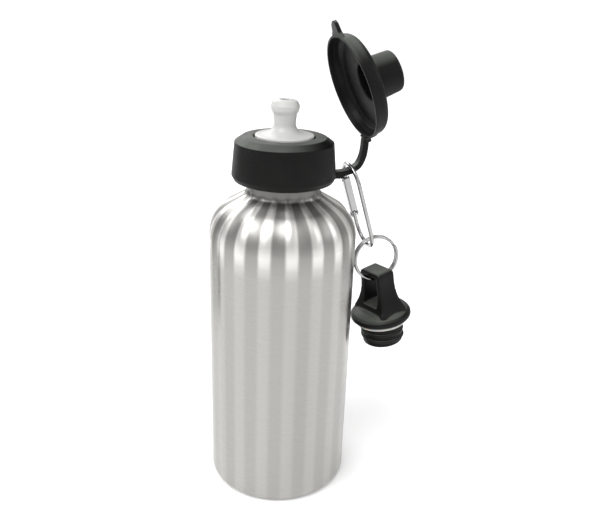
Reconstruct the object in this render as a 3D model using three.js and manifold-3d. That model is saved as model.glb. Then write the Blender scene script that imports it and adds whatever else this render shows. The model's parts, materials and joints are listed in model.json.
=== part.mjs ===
// A metal sports bottle: a push-pull sport cap with a tethered dust cover, and a spare screw cap
// with a loop handle that hangs beside it from a small carabiner and a split ring.
// Millimetres, +Z up. The origin is the centre of the bottle's base, and the tether points along +X.
import * as THREE from "three";
import { mergeVertices } from "three/addons/utils/BufferGeometryUtils.js";
import Module from "manifold-3d";

const wasm = await Module();
wasm.setup();

// ---------------------------------------------------------------- driving dimensions
const CLEARANCE = 0.35; // between two pieces that touch or slide

// bottle
const BODY_R = 36.5;
const BODY_TOP = 136.2; // where the straight side meets the shoulder
const BASE_CORNER_R = 3.6;
const SHOULDER_R = 19.1;
const SHOULDER_SWEEP = 60; // degrees of the shoulder's arc, which runs on as a cone to the neck
const NECK_STEP = 1.35; // the neck beyond its straight lip, in radius
const NECK_FILLET = 4;
const NECK_H = 4.65; // straight neck, up to where it turns in
const LIP_H = 1.4; // straight lip round the mouth ring
const SHEET = 0.8;
const BASE_PAD_R = 19;
const BASE_GROOVE_W = 10;
const BASE_GROOVE_D = 2.2;
const BASE_GROOVE_SLOPE = 1.5;

// mouth and thread
const MOUTH_R = 12.3; // bore of the threaded ring, at the thread's root
const MOUTH_WALL = 3;
const RIM_FLANGE = 1.5; // the rim beyond the ring's tube
const RIM_H = 4.6;
const MOUTH_DEPTH = 13.5;
const THREAD_PITCH = 4;
const THREAD_H = 0.9;
const THREAD_W = 1.6;
const THREAD_GAP = 0.5; // radial, crest to root
const MOUTH_THREAD_START = 1.2; // above the threaded ring's lower end
const GASKET_T = 1.7;
const EDGE = 0.8; // chamfer of the mouth's and the plugs' ends

// sport cap
const COLLAR_TAPER = 1.5; // its side's top edge in from its bottom edge
const COLLAR_H = 18.3; // skirt's bottom edge to the top edge of its side
const COLLAR_BEVEL = 2.3;
const COLLAR_WALL = 2.4;
const CONE_H = 2.6;
const CONE_W = 3.6; // the sloping top, in radius
const PLATE_T = 1.9;
const PLUG_LENGTH = 11.5;
const PLUG_WALL = 1.7;
const SKIRT_DROP = 8.6; // the skirt's bottom edge below the bottle's rim
const WATER_HOLE_R = 1.5;
const WATER_HOLES = 4;

// nozzle
const NOZZLE_BASE_R = 14.15;
const NOZZLE_STEM_WALL = 1.3;
const NOZZLE_HEAD_STEP = 1.6; // the head beyond the stem
const NOZZLE_H = 16.6; // base disc's top edge to tip
const NOZZLE_PROUD = 0.6; // base disc above the collar's top
const NOZZLE_POST_GAP = 1.3; // water's way round the post
const NOZZLE_PLAY = 0.65; // base disc to the well round it
const NOZZLE_HOLE_R = 2.3;
const NOZZLE_WALL = 1.7;
const POST_R = 2.6;
const POST_FOOT_STEP = 0.6;
const SEAL_W = 1.6;
const SEAL_D = 1; // depth of its groove

// dust cover, and the two places where its tether bends
const COVER_REACH = 1.7; // its lip beyond the collar's top edge
const COVER_OVERLAP = 1.7; // the closed rim below the collar's top edge
const COVER_LIP_H = 2;
const COVER_DRUM_H = 7.6;
const COVER_H = 23.7;
const COVER_WALL = 1;
const COVER_STEP = 0.6; // lip proud of the drum
const KNOB_R = 10.2;
const TAB_W = 6;
const TAB_L = 6.5;
// the poles lie out from the collar's side and up from its lower edge; open is in degrees at rest
const STRAP_POLE = { out: 16.8, up: -4.083, open: 20 };
const COVER_POLE = { out: 9.594, up: 11.304, open: 49.4 };

// tether
const STRAP_W = 5;
const STRAP_T = 2.9;
const STUB_SHARE = 0.47; // of the strap's line, which the rigid stub takes
const TETHER_W = 3.85; // of the ring round the neck, in radius
const TETHER_EXTRA = 0.4; // the ring's height beyond the strap's thickness
const TETHER_PLAY = 0.8; // the ring's bore beyond the neck
const TETHER_DROP = 0.7; // the ring's lower face below the collar's

// carabiner
const WIRE_R = 1;
const CLIP_W = 19; // leg to leg, on the wire's centre line
const CLIP_L = 45.8;
const CLIP_OUT = 7.8; // its top, out from the collar's side
const CLIP_ABOVE = 3.22; // its top, above the tether ring's top
const NOSE_AT = 9.6; // below the top
const HINGE_AT = 30.4;
const GATE_WALL = 0.5;
const RIVET_R = 0.6;
const NOSE_REACH = 3;
const LATCH_R = 0.4;
const LATCH_PLAY = 0.2; // pin to the nose's outer side

// split ring
const RING_R = 11.7;
const RING_WIRE_R = 0.75;
const RING_HANG = 33; // degrees outwards from straight down

// loop cap
const LOOP_FLANGE_W = 2.5; // beyond its gasket
const LOOP_FLANGE_H = 4.2;
const LOOP_H = 29; // gasket face to the handle's top
const LOOP_HANDLE_T = 2.8;
const LOOP_HANDLE_W = 10.4; // along the ring's wire
const LOOP_HANDLE_L = 15.4; // across both legs
const LOOP_GAP_W = 9.6;
const LOOP_GAP_FROM = 9.2;
const LOOP_LEAN = 9.5;
const LOOP_TURN = 17;
const LOOP_GASKET_W = 1.75;
const LOOP_OUT = 21.344; // middle of its gasket face, out from the bottle's side
const HANDLE_PLAY = 0.531; // between the ring's wire and the edges of the handle's underside

const SEGMENTS = 40;
const DEG = Math.PI / 180;
const V2 = (x, y) => new THREE.Vector2(x, y);
const V3 = (x, y, z) => new THREE.Vector3(x, y, z);

// ---------------------------------------------------------------- heights and radii that follow
const ringTubeR = MOUTH_R + MOUTH_WALL;
const rimR = ringTubeR + RIM_FLANGE;
const neckLipR = ringTubeR + CLEARANCE + SHEET;
const neckR = neckLipR + NECK_STEP;
const tetherRingR = neckR + TETHER_PLAY;
const tetherOuterR = tetherRingR + TETHER_W;
const skirtR = tetherOuterR + CLEARANCE;
const collarR = skirtR + COLLAR_WALL;
const collarTopR = collarR - COLLAR_TAPER;
const coneTopR = collarTopR - CONE_W;
const coverR = collarTopR + COVER_REACH;
const wellR = NOZZLE_BASE_R + NOZZLE_PLAY;
const nozzleBoreR = POST_R + NOZZLE_POST_GAP;
const nozzleStemR = nozzleBoreR + NOZZLE_STEM_WALL;
const nozzleHeadR = nozzleStemR + NOZZLE_HEAD_STEP;
const postFootR = POST_R + POST_FOOT_STEP;
const plugR = MOUTH_R - THREAD_H - THREAD_GAP;
const loopGasketBore = plugR + THREAD_H + CLEARANCE;
const loopGasketR = loopGasketBore + LOOP_GASKET_W;
const loopFlangeR = loopGasketR + LOOP_FLANGE_W;

const shoulderEnd = {
  r: BODY_R - SHOULDER_R + SHOULDER_R * Math.cos(SHOULDER_SWEEP * DEG),
  z: BODY_TOP + SHOULDER_R * Math.sin(SHOULDER_SWEEP * DEG),
};
const coneEnd = shoulderEnd.z + (shoulderEnd.r - neckR) / Math.tan(SHOULDER_SWEEP * DEG);
const neckStart = coneEnd + NECK_FILLET * Math.tan((SHOULDER_SWEEP / 2) * DEG);
const neckBend = neckStart + NECK_H;
const neckLip = neckBend + (neckR - neckLipR) + LIP_H;
const rimTop = neckLip + CLEARANCE + RIM_H;
const gasketTop = rimTop + CLEARANCE + GASKET_T;
const plateBottom = gasketTop + CLEARANCE;
const plateTop = plateBottom + PLATE_T;
const collarBottom = rimTop - SKIRT_DROP;
const collarEdge = collarBottom + COLLAR_H;
const collarTop = collarEdge + CONE_H;
const nozzleEdge = collarTop + NOZZLE_PROUD;
const nozzleTip = nozzleEdge + NOZZLE_H;
const sealFrom = plateTop + CLEARANCE + 1.3;
const coverRim = collarEdge - COVER_OVERLAP;
const tetherBottom = collarBottom - TETHER_DROP;
const tetherTop = tetherBottom + STRAP_T + TETHER_EXTRA;
const latchAt = -NOSE_AT - NOSE_REACH / 2;

// A point (x, z) turned outwards about a pole of the tether.
function swung(point, pole) {
  const angle = pole.open * DEG;
  const dx = point.x - collarR - pole.out;
  const dz = point.z - collarBottom - pole.up;
  return {
    x: collarR + pole.out + dx * Math.cos(angle) + dz * Math.sin(angle),
    z: collarBottom + pole.up - dx * Math.sin(angle) + dz * Math.cos(angle),
  };
}

const coverTilt = STRAP_POLE.open + COVER_POLE.open;
const openCentre = swung(swung({ x: 0, z: coverRim }, STRAP_POLE), COVER_POLE);

// the handle's underside above the ring's lowest point
const handleAbove =
  RING_R - Math.sqrt(RING_R ** 2 - (LOOP_HANDLE_W / 2) ** 2) + RING_WIRE_R + HANDLE_PLAY;
// the clip leans out as far as the bottle's side makes the spare cap stand out
const gasketFaceBelow = LOOP_H - LOOP_HANDLE_T - handleAbove;
const ringReach = RING_R - RING_WIRE_R - WIRE_R - CLEARANCE;
const belowClip =
  ringReach * Math.sin(RING_HANG * DEG) + (RING_R + gasketFaceBelow) * Math.sin(LOOP_LEAN * DEG);
const clipTop = { x: collarR + CLIP_OUT, z: tetherTop + CLIP_ABOVE };
const clipLean = Math.asin((BODY_R + LOOP_OUT - belowClip - clipTop.x) / CLIP_L);

// ---------------------------------------------------------------- helpers
// A closed manifold-3d solid from any closed geometry.
function solid(geometry) {
  const plain = geometry.clone();
  plain.deleteAttribute("normal");
  plain.deleteAttribute("uv");
  const merged = mergeVertices(plain, 1e-4);
  const index = merged.index.array;
  const kept = [];
  for (let i = 0; i < index.length; i += 3) {
    const [a, b, c] = [index[i], index[i + 1], index[i + 2]];
    if (a !== b && b !== c && c !== a) kept.push(a, b, c);
  }
  const vertProperties = merged.attributes.position.array;
  const triVerts = new Uint32Array(kept);
  return new wasm.Manifold(new wasm.Mesh({ numProp: 3, vertProperties, triVerts }));
}

function geometryOf(manifold) {
  const { vertProperties, triVerts } = manifold.getMesh();
  const geometry = new THREE.BufferGeometry();
  geometry.setAttribute("position", new THREE.BufferAttribute(new Float32Array(vertProperties), 3));
  geometry.setIndex(new THREE.BufferAttribute(new Uint32Array(triVerts), 1));
  return geometry;
}

// A solid of revolution about Z. The outline runs counter-clockwise in (r, z).
function turned(outline, segments = SEGMENTS) {
  const closes = outline[0].x > 0 || outline.at(-1).x > 0;
  const points = closes ? [...outline, outline[0].clone()] : outline;
  return solid(new THREE.LatheGeometry(points, segments).rotateX(Math.PI / 2));
}

function arc(cx, cz, r, from, to, steps) {
  const points = [];
  for (let i = 0; i <= steps; i++) {
    const a = (from + ((to - from) * i) / steps) * DEG;
    points.push(V2(cx + r * Math.cos(a), cz + r * Math.sin(a)));
  }
  return points;
}

// A flat outline in (x, y) pushed up along Z from z0 to z1.
function prism(points, z0, z1) {
  const options = { depth: z1 - z0, bevelEnabled: false, curveSegments: 8 };
  return new THREE.ExtrudeGeometry(new THREE.Shape(points), options).translate(0, 0, z0);
}

function drum(r, z0, z1, x = 0, y = 0, segments = 24) {
  const shape = new THREE.CylinderGeometry(r, r, z1 - z0, segments).rotateX(Math.PI / 2);
  return solid(shape.translate(x, y, (z0 + z1) / 2));
}

function block(x0, x1, y0, y1, z0, z1) {
  const shape = new THREE.BoxGeometry(x1 - x0, y1 - y0, z1 - z0);
  return solid(shape.translate((x0 + x1) / 2, (y0 + y1) / 2, (z0 + z1) / 2));
}

// A closed skin over a row of equal closed sections.
function lofted(sections) {
  const n = sections[0].length;
  const position = sections.flat().flatMap((p) => [p.x, p.y, p.z]);
  const index = [];
  for (let s = 0; s + 1 < sections.length; s++) {
    for (let i = 0; i < n; i++) {
      const a = s * n + i;
      const b = s * n + ((i + 1) % n);
      index.push(a, b, b + n, a, b + n, a + n);
    }
  }
  const last = (sections.length - 1) * n;
  for (let i = 1; i + 1 < n; i++) {
    index.push(0, i + 1, i);
    index.push(last, last + i, last + i + 1);
  }
  const geometry = new THREE.BufferGeometry();
  geometry.setAttribute("position", new THREE.Float32BufferAttribute(position, 3));
  geometry.setIndex(index);
  const made = solid(geometry);
  if (made.volume() > 0) return made;
  const turnedIndex = [];
  for (let i = 0; i < index.length; i += 3) turnedIndex.push(index[i], index[i + 2], index[i + 1]);
  geometry.setIndex(turnedIndex);
  return solid(geometry);
}

// One screw ridge: a trapezoid that climbs about Z and fades into its wall at both ends.
function ridge(wallR, crestR, zStart, turns, phase = 0) {
  const stepsPerTurn = 24;
  const steps = Math.round(turns * stepsPerTurn);
  const sink = Math.sign(wallR - crestR) * 0.3;
  const sections = [];
  for (let i = 0; i <= steps; i++) {
    const angle = (i / stepsPerTurn) * 2 * Math.PI + phase;
    const fade = Math.min(1, i / 5, (steps - i) / 5);
    const reach = wallR + (crestR - wallR) * (0.02 + 0.98 * fade);
    const z = zStart + (THREAD_PITCH * i) / stepsPerTurn;
    const wide = THREAD_W / 2;
    const narrow = THREAD_W / 4;
    const corner = (r, dz) => V3(r * Math.cos(angle), r * Math.sin(angle), z + dz);
    const base = wallR + sink;
    sections.push([corner(base, -wide), corner(reach, -narrow), corner(reach, narrow), corner(base, wide)]);
  }
  return lofted(sections);
}

// A round wire along a curve.
function wire(curve, radius, steps, sides) {
  const ring = new THREE.Shape().absarc(0, 0, radius, 0, 2 * Math.PI, false);
  const shape = new THREE.Shape(ring.getPoints(sides).slice(0, sides));
  return solid(new THREE.ExtrudeGeometry(shape, { steps, bevelEnabled: false, extrudePath: curve }));
}

function paint(color, roughness, metalness) {
  return new THREE.MeshStandardMaterial({ color, roughness, metalness });
}

const PAINT = {
  steel: paint(0xc9c7c2, 0.32, 1),
  black: paint(0x1b1b1b, 0.45, 0),
  white: paint(0xe9e9e6, 0.4, 0),
  seal: paint(0xd8d8d2, 0.5, 0),
  chrome: paint(0xd6d6d6, 0.15, 1),
};

function part(name, made, material) {
  const mesh = new THREE.Mesh(geometryOf(made), material);
  mesh.name = name;
  return mesh;
}

// ---------------------------------------------------------------- bottle
function bottleShell() {
  const inner = BODY_R - SHEET;
  const shoulderR = BODY_R - SHOULDER_R;
  const filletR = neckR + NECK_FILLET;
  const coneTurn = 180 + SHOULDER_SWEEP;
  const groove = BASE_PAD_R + BASE_GROOVE_W;
  const outside = [
    V2(0, 0),
    V2(BASE_PAD_R, 0),
    V2(BASE_PAD_R + BASE_GROOVE_SLOPE, BASE_GROOVE_D),
    V2(groove, BASE_GROOVE_D),
    V2(groove + BASE_GROOVE_SLOPE, 0),
    ...arc(BODY_R - BASE_CORNER_R, BASE_CORNER_R, BASE_CORNER_R, -90, 0, 3),
    ...arc(shoulderR, BODY_TOP, SHOULDER_R, 0, SHOULDER_SWEEP, 8),
    ...arc(filletR, neckStart, NECK_FILLET, coneTurn, 180, 4),
    V2(neckR, neckBend),
    V2(neckLipR, neckLip - LIP_H),
    V2(neckLipR, neckLip),
  ];
  const insideBend = neckBend - SHEET * 0.4;
  const inside = [
    V2(neckLipR - SHEET, neckLip),
    V2(neckLipR - SHEET, neckLip - LIP_H - SHEET * 0.4),
    V2(neckR - SHEET, insideBend),
    ...arc(filletR, neckStart, NECK_FILLET + SHEET, 180, coneTurn, 4),
    ...arc(shoulderR, BODY_TOP, SHOULDER_R - SHEET, SHOULDER_SWEEP, 0, 8),
    ...arc(inner - BASE_CORNER_R, BASE_CORNER_R + SHEET, BASE_CORNER_R, 0, -90, 3),
    V2(groove + BASE_GROOVE_SLOPE, SHEET),
    V2(groove, BASE_GROOVE_D + SHEET),
    V2(BASE_PAD_R + BASE_GROOVE_SLOPE, BASE_GROOVE_D + SHEET),
    V2(BASE_PAD_R, SHEET),
    V2(0, SHEET),
  ];
  return turned([...outside, ...inside]);
}

function mouthRing() {
  const tubeBottom = rimTop - MOUTH_DEPTH;
  const rimBottom = neckLip + CLEARANCE;
  const body = turned([
    V2(MOUTH_R, tubeBottom),
    V2(ringTubeR, tubeBottom),
    V2(ringTubeR, rimBottom),
    V2(rimR, rimBottom),
    V2(rimR, rimTop - EDGE),
    V2(rimR - EDGE, rimTop),
    V2(MOUTH_R + EDGE, rimTop),
    V2(MOUTH_R, rimTop - EDGE),
  ]);
  const turns = (MOUTH_DEPTH - 4) / THREAD_PITCH;
  return body.add(ridge(MOUTH_R, MOUTH_R - THREAD_H, tubeBottom + MOUTH_THREAD_START, turns));
}

// ---------------------------------------------------------------- sport cap
function ringSeal(innerR, outerR, z0, z1) {
  return turned([V2(innerR, z0), V2(outerR, z0), V2(outerR, z1), V2(innerR, z1)], 32);
}

// The threaded tube of either cap. Its seat is where the mouth's rim would be, and it hangs from top.
function threadedPlug(top, seat, mouthBottom) {
  const bottom = seat - PLUG_LENGTH;
  const bore = plugR - PLUG_WALL;
  const tube = turned([
    V2(bore, bottom),
    V2(plugR - EDGE, bottom),
    V2(plugR, bottom + EDGE),
    V2(plugR, top),
    V2(bore, top),
  ]);
  const start = bottom + 1.6;
  const climb = start - (mouthBottom + MOUTH_THREAD_START) - THREAD_PITCH / 2;
  const phase = (climb / THREAD_PITCH) * 2 * Math.PI;
  const turns = (seat - start - 1.2 - THREAD_W / 2) / THREAD_PITCH;
  return tube.add(ridge(plugR, plugR + THREAD_H, start, turns, phase));
}

function capCollar() {
  const shell = turned([
    V2(0, plateBottom),
    V2(skirtR - 0.8, plateBottom),
    V2(skirtR, plateBottom - 0.8),
    V2(skirtR, collarBottom + 0.4),
    V2(skirtR + 0.4, collarBottom),
    V2(collarR - 1.1, collarBottom),
    V2(collarR, collarBottom + COLLAR_BEVEL),
    V2(collarTopR + 0.25, collarEdge - 0.7),
    V2(collarTopR - 0.1, collarEdge),
    V2(coneTopR, collarTop - 0.15),
    V2(wellR + 0.5, collarTop),
    V2(wellR, collarTop - 0.4),
    V2(wellR, plateTop),
    V2(0, plateTop),
  ]);
  let made = shell.add(threadedPlug(plateBottom + 0.5, rimTop, rimTop - MOUTH_DEPTH));
  for (let i = 0; i < WATER_HOLES; i++) {
    const a = ((i + 0.5) / WATER_HOLES) * 2 * Math.PI;
    const r = POST_R + 1.6 + WATER_HOLE_R;
    const hole = drum(WATER_HOLE_R, plateBottom - 1, plateTop + 1, r * Math.cos(a), r * Math.sin(a), 12);
    made = made.subtract(hole);
  }
  const half = STRAP_W / 2 + CLEARANCE;
  const notch = block(skirtR - 2, collarR + 2, -half, half, collarBottom - 1, tetherTop + CLEARANCE);
  return made.subtract(notch).subtract(postHole());
}

function postHole() {
  return drum(POST_R + CLEARANCE, plateBottom - 1, plateTop + 1, 0, 0, 16);
}

function valvePost() {
  const tip = nozzleTip - 0.8;
  const neck = tip - 3.4;
  const foot = plateTop + CLEARANCE;
  return turned(
    [
      V2(0, plateBottom + 0.3),
      V2(POST_R, plateBottom + 0.3),
      V2(POST_R, foot),
      V2(postFootR, foot),
      V2(postFootR, foot + 1.2),
      V2(POST_R, foot + 1.6),
      V2(POST_R, neck),
      V2(NOZZLE_HOLE_R - CLEARANCE, neck + 0.9),
      V2(NOZZLE_HOLE_R - CLEARANCE, tip - 0.4),
      V2(NOZZLE_HOLE_R - CLEARANCE - 0.4, tip),
      V2(0, tip),
    ],
    20,
  );
}

function drinkingNozzle() {
  const bottom = plateTop + CLEARANCE;
  const groove = NOZZLE_BASE_R - SEAL_D;
  const flareEnd = nozzleEdge + 5.2;
  const head = nozzleTip - 4.4;
  const skirtBore = NOZZLE_BASE_R - 1.2 - NOZZLE_WALL;
  const flare = [];
  for (let i = 0; i <= 7; i++) {
    const a = (i / 7) * 90 * DEG;
    const r = NOZZLE_BASE_R - 0.9 - (NOZZLE_BASE_R - 0.9 - nozzleStemR) * Math.sin(a);
    flare.push(V2(r, nozzleEdge + 0.35 + (flareEnd - nozzleEdge - 0.35) * (1 - Math.cos(a))));
  }
  return turned(
    [
      V2(skirtBore, bottom),
      V2(NOZZLE_BASE_R, bottom),
      V2(NOZZLE_BASE_R, sealFrom),
      V2(groove, sealFrom),
      V2(groove, sealFrom + SEAL_W),
      V2(NOZZLE_BASE_R, sealFrom + SEAL_W),
      V2(NOZZLE_BASE_R, nozzleEdge - 0.3),
      ...flare,
      V2(nozzleStemR, flareEnd + 0.9),
      V2(nozzleStemR + 0.35, head - 2.2),
      V2(nozzleHeadR - 0.35, head - 1),
      V2(nozzleHeadR, head),
      V2(nozzleHeadR - 0.2, head + 1.7),
      V2(nozzleHeadR - 1.1, nozzleTip - 1),
      V2(nozzleHeadR - 2.5, nozzleTip - 0.1),
      V2(NOZZLE_HOLE_R + 0.3, nozzleTip),
      V2(NOZZLE_HOLE_R, nozzleTip - 0.3),
      V2(NOZZLE_HOLE_R, nozzleTip - 2.4),
      V2(nozzleBoreR, nozzleTip - 3.6),
      V2(nozzleBoreR, nozzleEdge + 2.2),
      V2(skirtBore, nozzleEdge - 1.9),
    ],
    30,
  );
}

function nozzleSeal() {
  const outer = wellR - CLEARANCE * 0.9;
  const inner = NOZZLE_BASE_R - SEAL_D + CLEARANCE;
  return ringSeal(inner, outer, sealFrom + 0.32, sealFrom + SEAL_W - 0.32);
}

// ---------------------------------------------------------------- tether
// Middle line of the strap, from inside the ring to the cover's rim, in the XZ plane.
const openRim = {
  x: openCentre.x + coverR * Math.cos(coverTilt * DEG),
  z: openCentre.z - coverR * Math.sin(coverTilt * DEG),
};
const STRAP_LINE = [
  { x: tetherOuterR - 0.95, z: (tetherBottom + tetherTop) / 2 },
  { x: collarR + 1.4, z: (tetherBottom + tetherTop) / 2 },
  { x: collarR + 6, z: tetherTop - 0.9 },
  { x: collarR + 9.4, z: tetherTop + 0.1 },
  { x: collarR + 13.2, z: tetherTop + 2.7 },
  { x: collarR + 15.2, z: tetherTop + 6.8 },
  { x: collarR + 15.9, z: tetherTop + 10.8 },
  { x: openRim.x, z: openRim.z - 2 * CLEARANCE },
];

// Sections of the strap between two fractions of its middle line. It is thicker by its root.
function strapSections(from, to, count) {
  const points = STRAP_LINE.map((p) => V3(p.x, 0, p.z));
  const curve = new THREE.CatmullRomCurve3(points, false, "centripetal");
  const w = STRAP_W / 2;
  const c = 0.5;
  const sections = [];
  for (let i = 0; i <= count; i++) {
    const at = from + ((to - from) * i) / count;
    const p = curve.getPointAt(at);
    const t = curve.getTangentAt(at);
    const n = V3(-t.z, 0, t.x);
    const root = Math.max(0, 1 - Math.abs(p.x - collarR - 1.5) / 5);
    const h = (STRAP_T / 2) * (1 + 0.12 * root);
    const ring = [
      [-w, -h + c], [-w + c, -h], [w - c, -h], [w, -h + c],
      [w, h - c], [w - c, h], [-w + c, h], [-w, h - c],
    ];
    sections.push(ring.map(([y, k]) => V3(p.x + n.x * k, y, p.z + n.z * k)));
  }
  return sections;
}

function tetherRing() {
  const band = turned([
    V2(tetherRingR, tetherBottom),
    V2(tetherOuterR, tetherBottom),
    V2(tetherOuterR, tetherTop),
    V2(tetherRingR, tetherTop),
  ]);
  return band.add(lofted(strapSections(0, STUB_SHARE, 9)));
}

function coverStrap() {
  return lofted(strapSections(STUB_SHARE + 0.01, 1, 15));
}

// ---------------------------------------------------------------- dust cover (drawn closed)
function dustCover() {
  const bore = coverR - COVER_WALL;
  const drumR = coverR - COVER_STEP;
  const roof = COVER_DRUM_H;
  const shell = turned([
    V2(bore, 0),
    V2(coverR, 0),
    V2(coverR, COVER_LIP_H - 0.3),
    V2(coverR - 0.3, COVER_LIP_H),
    V2(drumR, COVER_LIP_H),
    V2(drumR - 0.3, roof - 2.6),
    V2(drumR - 1.2, roof - 0.7),
    V2(drumR - 3.2, roof),
    V2(KNOB_R + 1, roof + 1.4),
    V2(KNOB_R, roof + 2.4),
    V2(KNOB_R - 0.2, COVER_H - 1.4),
    V2(KNOB_R - 0.7, COVER_H - 0.4),
    V2(KNOB_R - 1.8, COVER_H),
    V2(0, COVER_H),
    V2(0, COVER_H - COVER_WALL),
    V2(KNOB_R - COVER_WALL - 0.4, COVER_H - COVER_WALL),
    V2(KNOB_R - COVER_WALL, roof + 0.6),
    V2(drumR - 3.2, roof - COVER_WALL),
    V2(drumR - 1.8, roof - 2.6),
    V2(bore - 0.4, COVER_LIP_H + 0.6),
  ]);
  const w = TAB_W / 2;
  const reach = -coverR - TAB_L;
  const tab = prism(
    [V2(-coverR + 0.8, -w - 0.6), V2(-coverR + 0.8, w + 0.6), V2(reach + 1, w - 0.7), V2(reach, 0.9),
      V2(reach, -0.9), V2(reach + 1, -w + 0.7)],
    0.1,
    COVER_LIP_H,
  );
  return shell.add(solid(tab));
}

// ---------------------------------------------------------------- carabiner (y across, z down from its top)
function pinAcross(y, z, r, halfLength) {
  const shape = new THREE.CylinderGeometry(r, r, 2 * halfLength, 12).rotateZ(Math.PI / 2);
  return solid(shape.translate(0, y, z));
}

// A wire that follows straight runs and half circles, one section at each end of every run.
function clipFrame() {
  const half = CLIP_W / 2;
  const centre = [];
  const add = (y, z, ny, nz) => centre.push({ y, z, ny, nz });
  add(half, -NOSE_AT - NOSE_REACH, 1, 0);
  for (let i = 0; i <= 12; i++) {
    const a = (i / 12) * Math.PI;
    add(half * Math.cos(a), -half + half * Math.sin(a), Math.cos(a), Math.sin(a));
  }
  for (let i = 0; i <= 12; i++) {
    const a = Math.PI + (i / 12) * Math.PI;
    add(half * Math.cos(a), -CLIP_L + half + half * Math.sin(a), Math.cos(a), Math.sin(a));
  }
  add(half, -HINGE_AT + 1.2, 1, 0);
  const sides = 10;
  const sections = centre.map(({ y, z, ny, nz }) => {
    const ring = [];
    for (let i = 0; i < sides; i++) {
      const a = (i / sides) * 2 * Math.PI;
      const out = WIRE_R * Math.cos(a);
      ring.push(V3(WIRE_R * Math.sin(a), y + ny * out, z + nz * out));
    }
    return ring;
  });
  const hinge = pinAcross(half, -HINGE_AT, RIVET_R + CLEARANCE * 0.7, 4);
  // the nose's notch opens inwards, the way the gate's pin leaves
  const lip = half + LATCH_R + LATCH_PLAY;
  const notch = block(-4, 4, half - 2, lip, latchAt - LATCH_R - CLEARANCE, latchAt + LATCH_R + CLEARANCE);
  return lofted(sections).subtract(hinge).subtract(notch);
}

// A folded channel: its web is inside the loop, and it is open outwards.
function clipGate() {
  const half = CLIP_W / 2;
  const inner = WIRE_R + CLEARANCE;
  const outer = inner + GATE_WALL;
  const top = -NOSE_AT + 0.2;
  const bottom = -HINGE_AT - 1.6;
  const web = half - inner;
  const body = block(-outer, outer, web - GATE_WALL, half + WIRE_R, bottom, top);
  const slot = block(-inner, inner, web, half + WIRE_R + 1, bottom - 1, top + 1);
  const heel = block(-inner, inner, web - 2, web + 1, bottom - 1, -HINGE_AT + 2.2);
  const lock = [-HINGE_AT + 4, latchAt - NOSE_REACH];
  const fold = block(-inner - 0.1, inner + 0.1, web - 0.1, half + WIRE_R, ...lock);
  const hinge = pinAcross(half, -HINGE_AT, RIVET_R + CLEARANCE, 4);
  const latch = pinAcross(half, latchAt, LATCH_R + CLEARANCE, 4);
  return body.subtract(slot).subtract(heel).add(fold).subtract(hinge).subtract(latch);
}

function rivet() {
  return pinAcross(CLIP_W / 2, -HINGE_AT, RIVET_R, WIRE_R + CLEARANCE + GATE_WALL + 0.4);
}

function latchPin() {
  return pinAcross(CLIP_W / 2, latchAt, LATCH_R, WIRE_R + CLEARANCE + GATE_WALL + 0.3);
}

// ---------------------------------------------------------------- split ring (about Y)
class TwoTurns extends THREE.Curve {
  getPoint(t, target = new THREE.Vector3()) {
    const a = (t * 1.96 + 0.1) * 2 * Math.PI;
    const rise = 2 * RING_WIRE_R + 0.3;
    return target.set(RING_R * Math.cos(a), (t * 1.96 - 0.98) * rise, RING_R * Math.sin(a));
  }
}

// ---------------------------------------------------------------- loop cap (gasket face at z = 0)
function loopCap() {
  const bell = turned([
    V2(0, 0),
    V2(loopFlangeR - 1.2, 0),
    V2(loopFlangeR, 1.3),
    V2(loopFlangeR, LOOP_FLANGE_H - 1),
    V2(loopFlangeR - 1.4, LOOP_FLANGE_H + 0.6),
    V2(loopFlangeR - 4, LOOP_FLANGE_H + 1.8),
    V2(0, LOOP_FLANGE_H + 3.2),
  ]);
  const top = LOOP_H;
  const half = LOOP_HANDLE_L / 2;
  const side = [];
  for (let i = 0; i <= 8; i++) {
    const f = i / 8;
    side.push(V2(half + 6.6 * (1 - f) ** 2.4, 2.6 + (top - 6.6) * f));
  }
  side.push(V2(half - 0.2, top - 1.8), V2(half - 1.6, top));
  const outline = [...side, ...side.toReversed().map((p) => V2(-p.x, p.y))];
  const flare = [];
  for (let i = 0; i <= 8; i++) {
    const f = i / 8;
    flare.push(V2(LOOP_HANDLE_W / 2 + 5.6 * (1 - f) ** 3, 2.6 + (top - 6.6) * f));
  }
  flare.push(V2(LOOP_HANDLE_W / 2 - 0.1, top - 1.2), V2(LOOP_HANDLE_W / 2 - 0.8, top));
  const across = [...flare, ...flare.toReversed().map((p) => V2(-p.x, p.y))];
  // the front outline spans Y, the side outline spans X, and both rise along Z
  const front = solid(prism(outline, -20, 20).rotateX(Math.PI / 2).rotateZ(Math.PI / 2));
  const profile = solid(prism(across, -20, 20).rotateX(Math.PI / 2));
  const tower = front.intersect(profile).intersect(drum(loopFlangeR - 2.2, 0, top + 1, 0, 0, SEGMENTS));
  const gap = new THREE.Shape();
  const g = LOOP_GAP_W / 2;
  const gapTop = top - LOOP_HANDLE_T;
  gap.moveTo(-g - 0.6, LOOP_GAP_FROM);
  gap.lineTo(g + 0.6, LOOP_GAP_FROM);
  gap.lineTo(g, gapTop - 1.6);
  gap.absarc(g - 1.6, gapTop - 1.6, 1.6, 0, Math.PI / 2, false);
  gap.absarc(-g + 1.6, gapTop - 1.6, 1.6, Math.PI / 2, Math.PI, false);
  const tunnel = new THREE.ExtrudeGeometry(gap, { depth: 40, bevelEnabled: false, curveSegments: 4 });
  const hole = solid(tunnel.translate(0, 0, -20).rotateX(Math.PI / 2).rotateZ(Math.PI / 2));
  const seat = -2 * CLEARANCE - GASKET_T;
  const plug = threadedPlug(0.5, seat, seat - MOUTH_DEPTH);
  return bell.add(tower).subtract(hole).add(plug);
}

// ---------------------------------------------------------------- assembly
const canteen = new THREE.Group();

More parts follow.
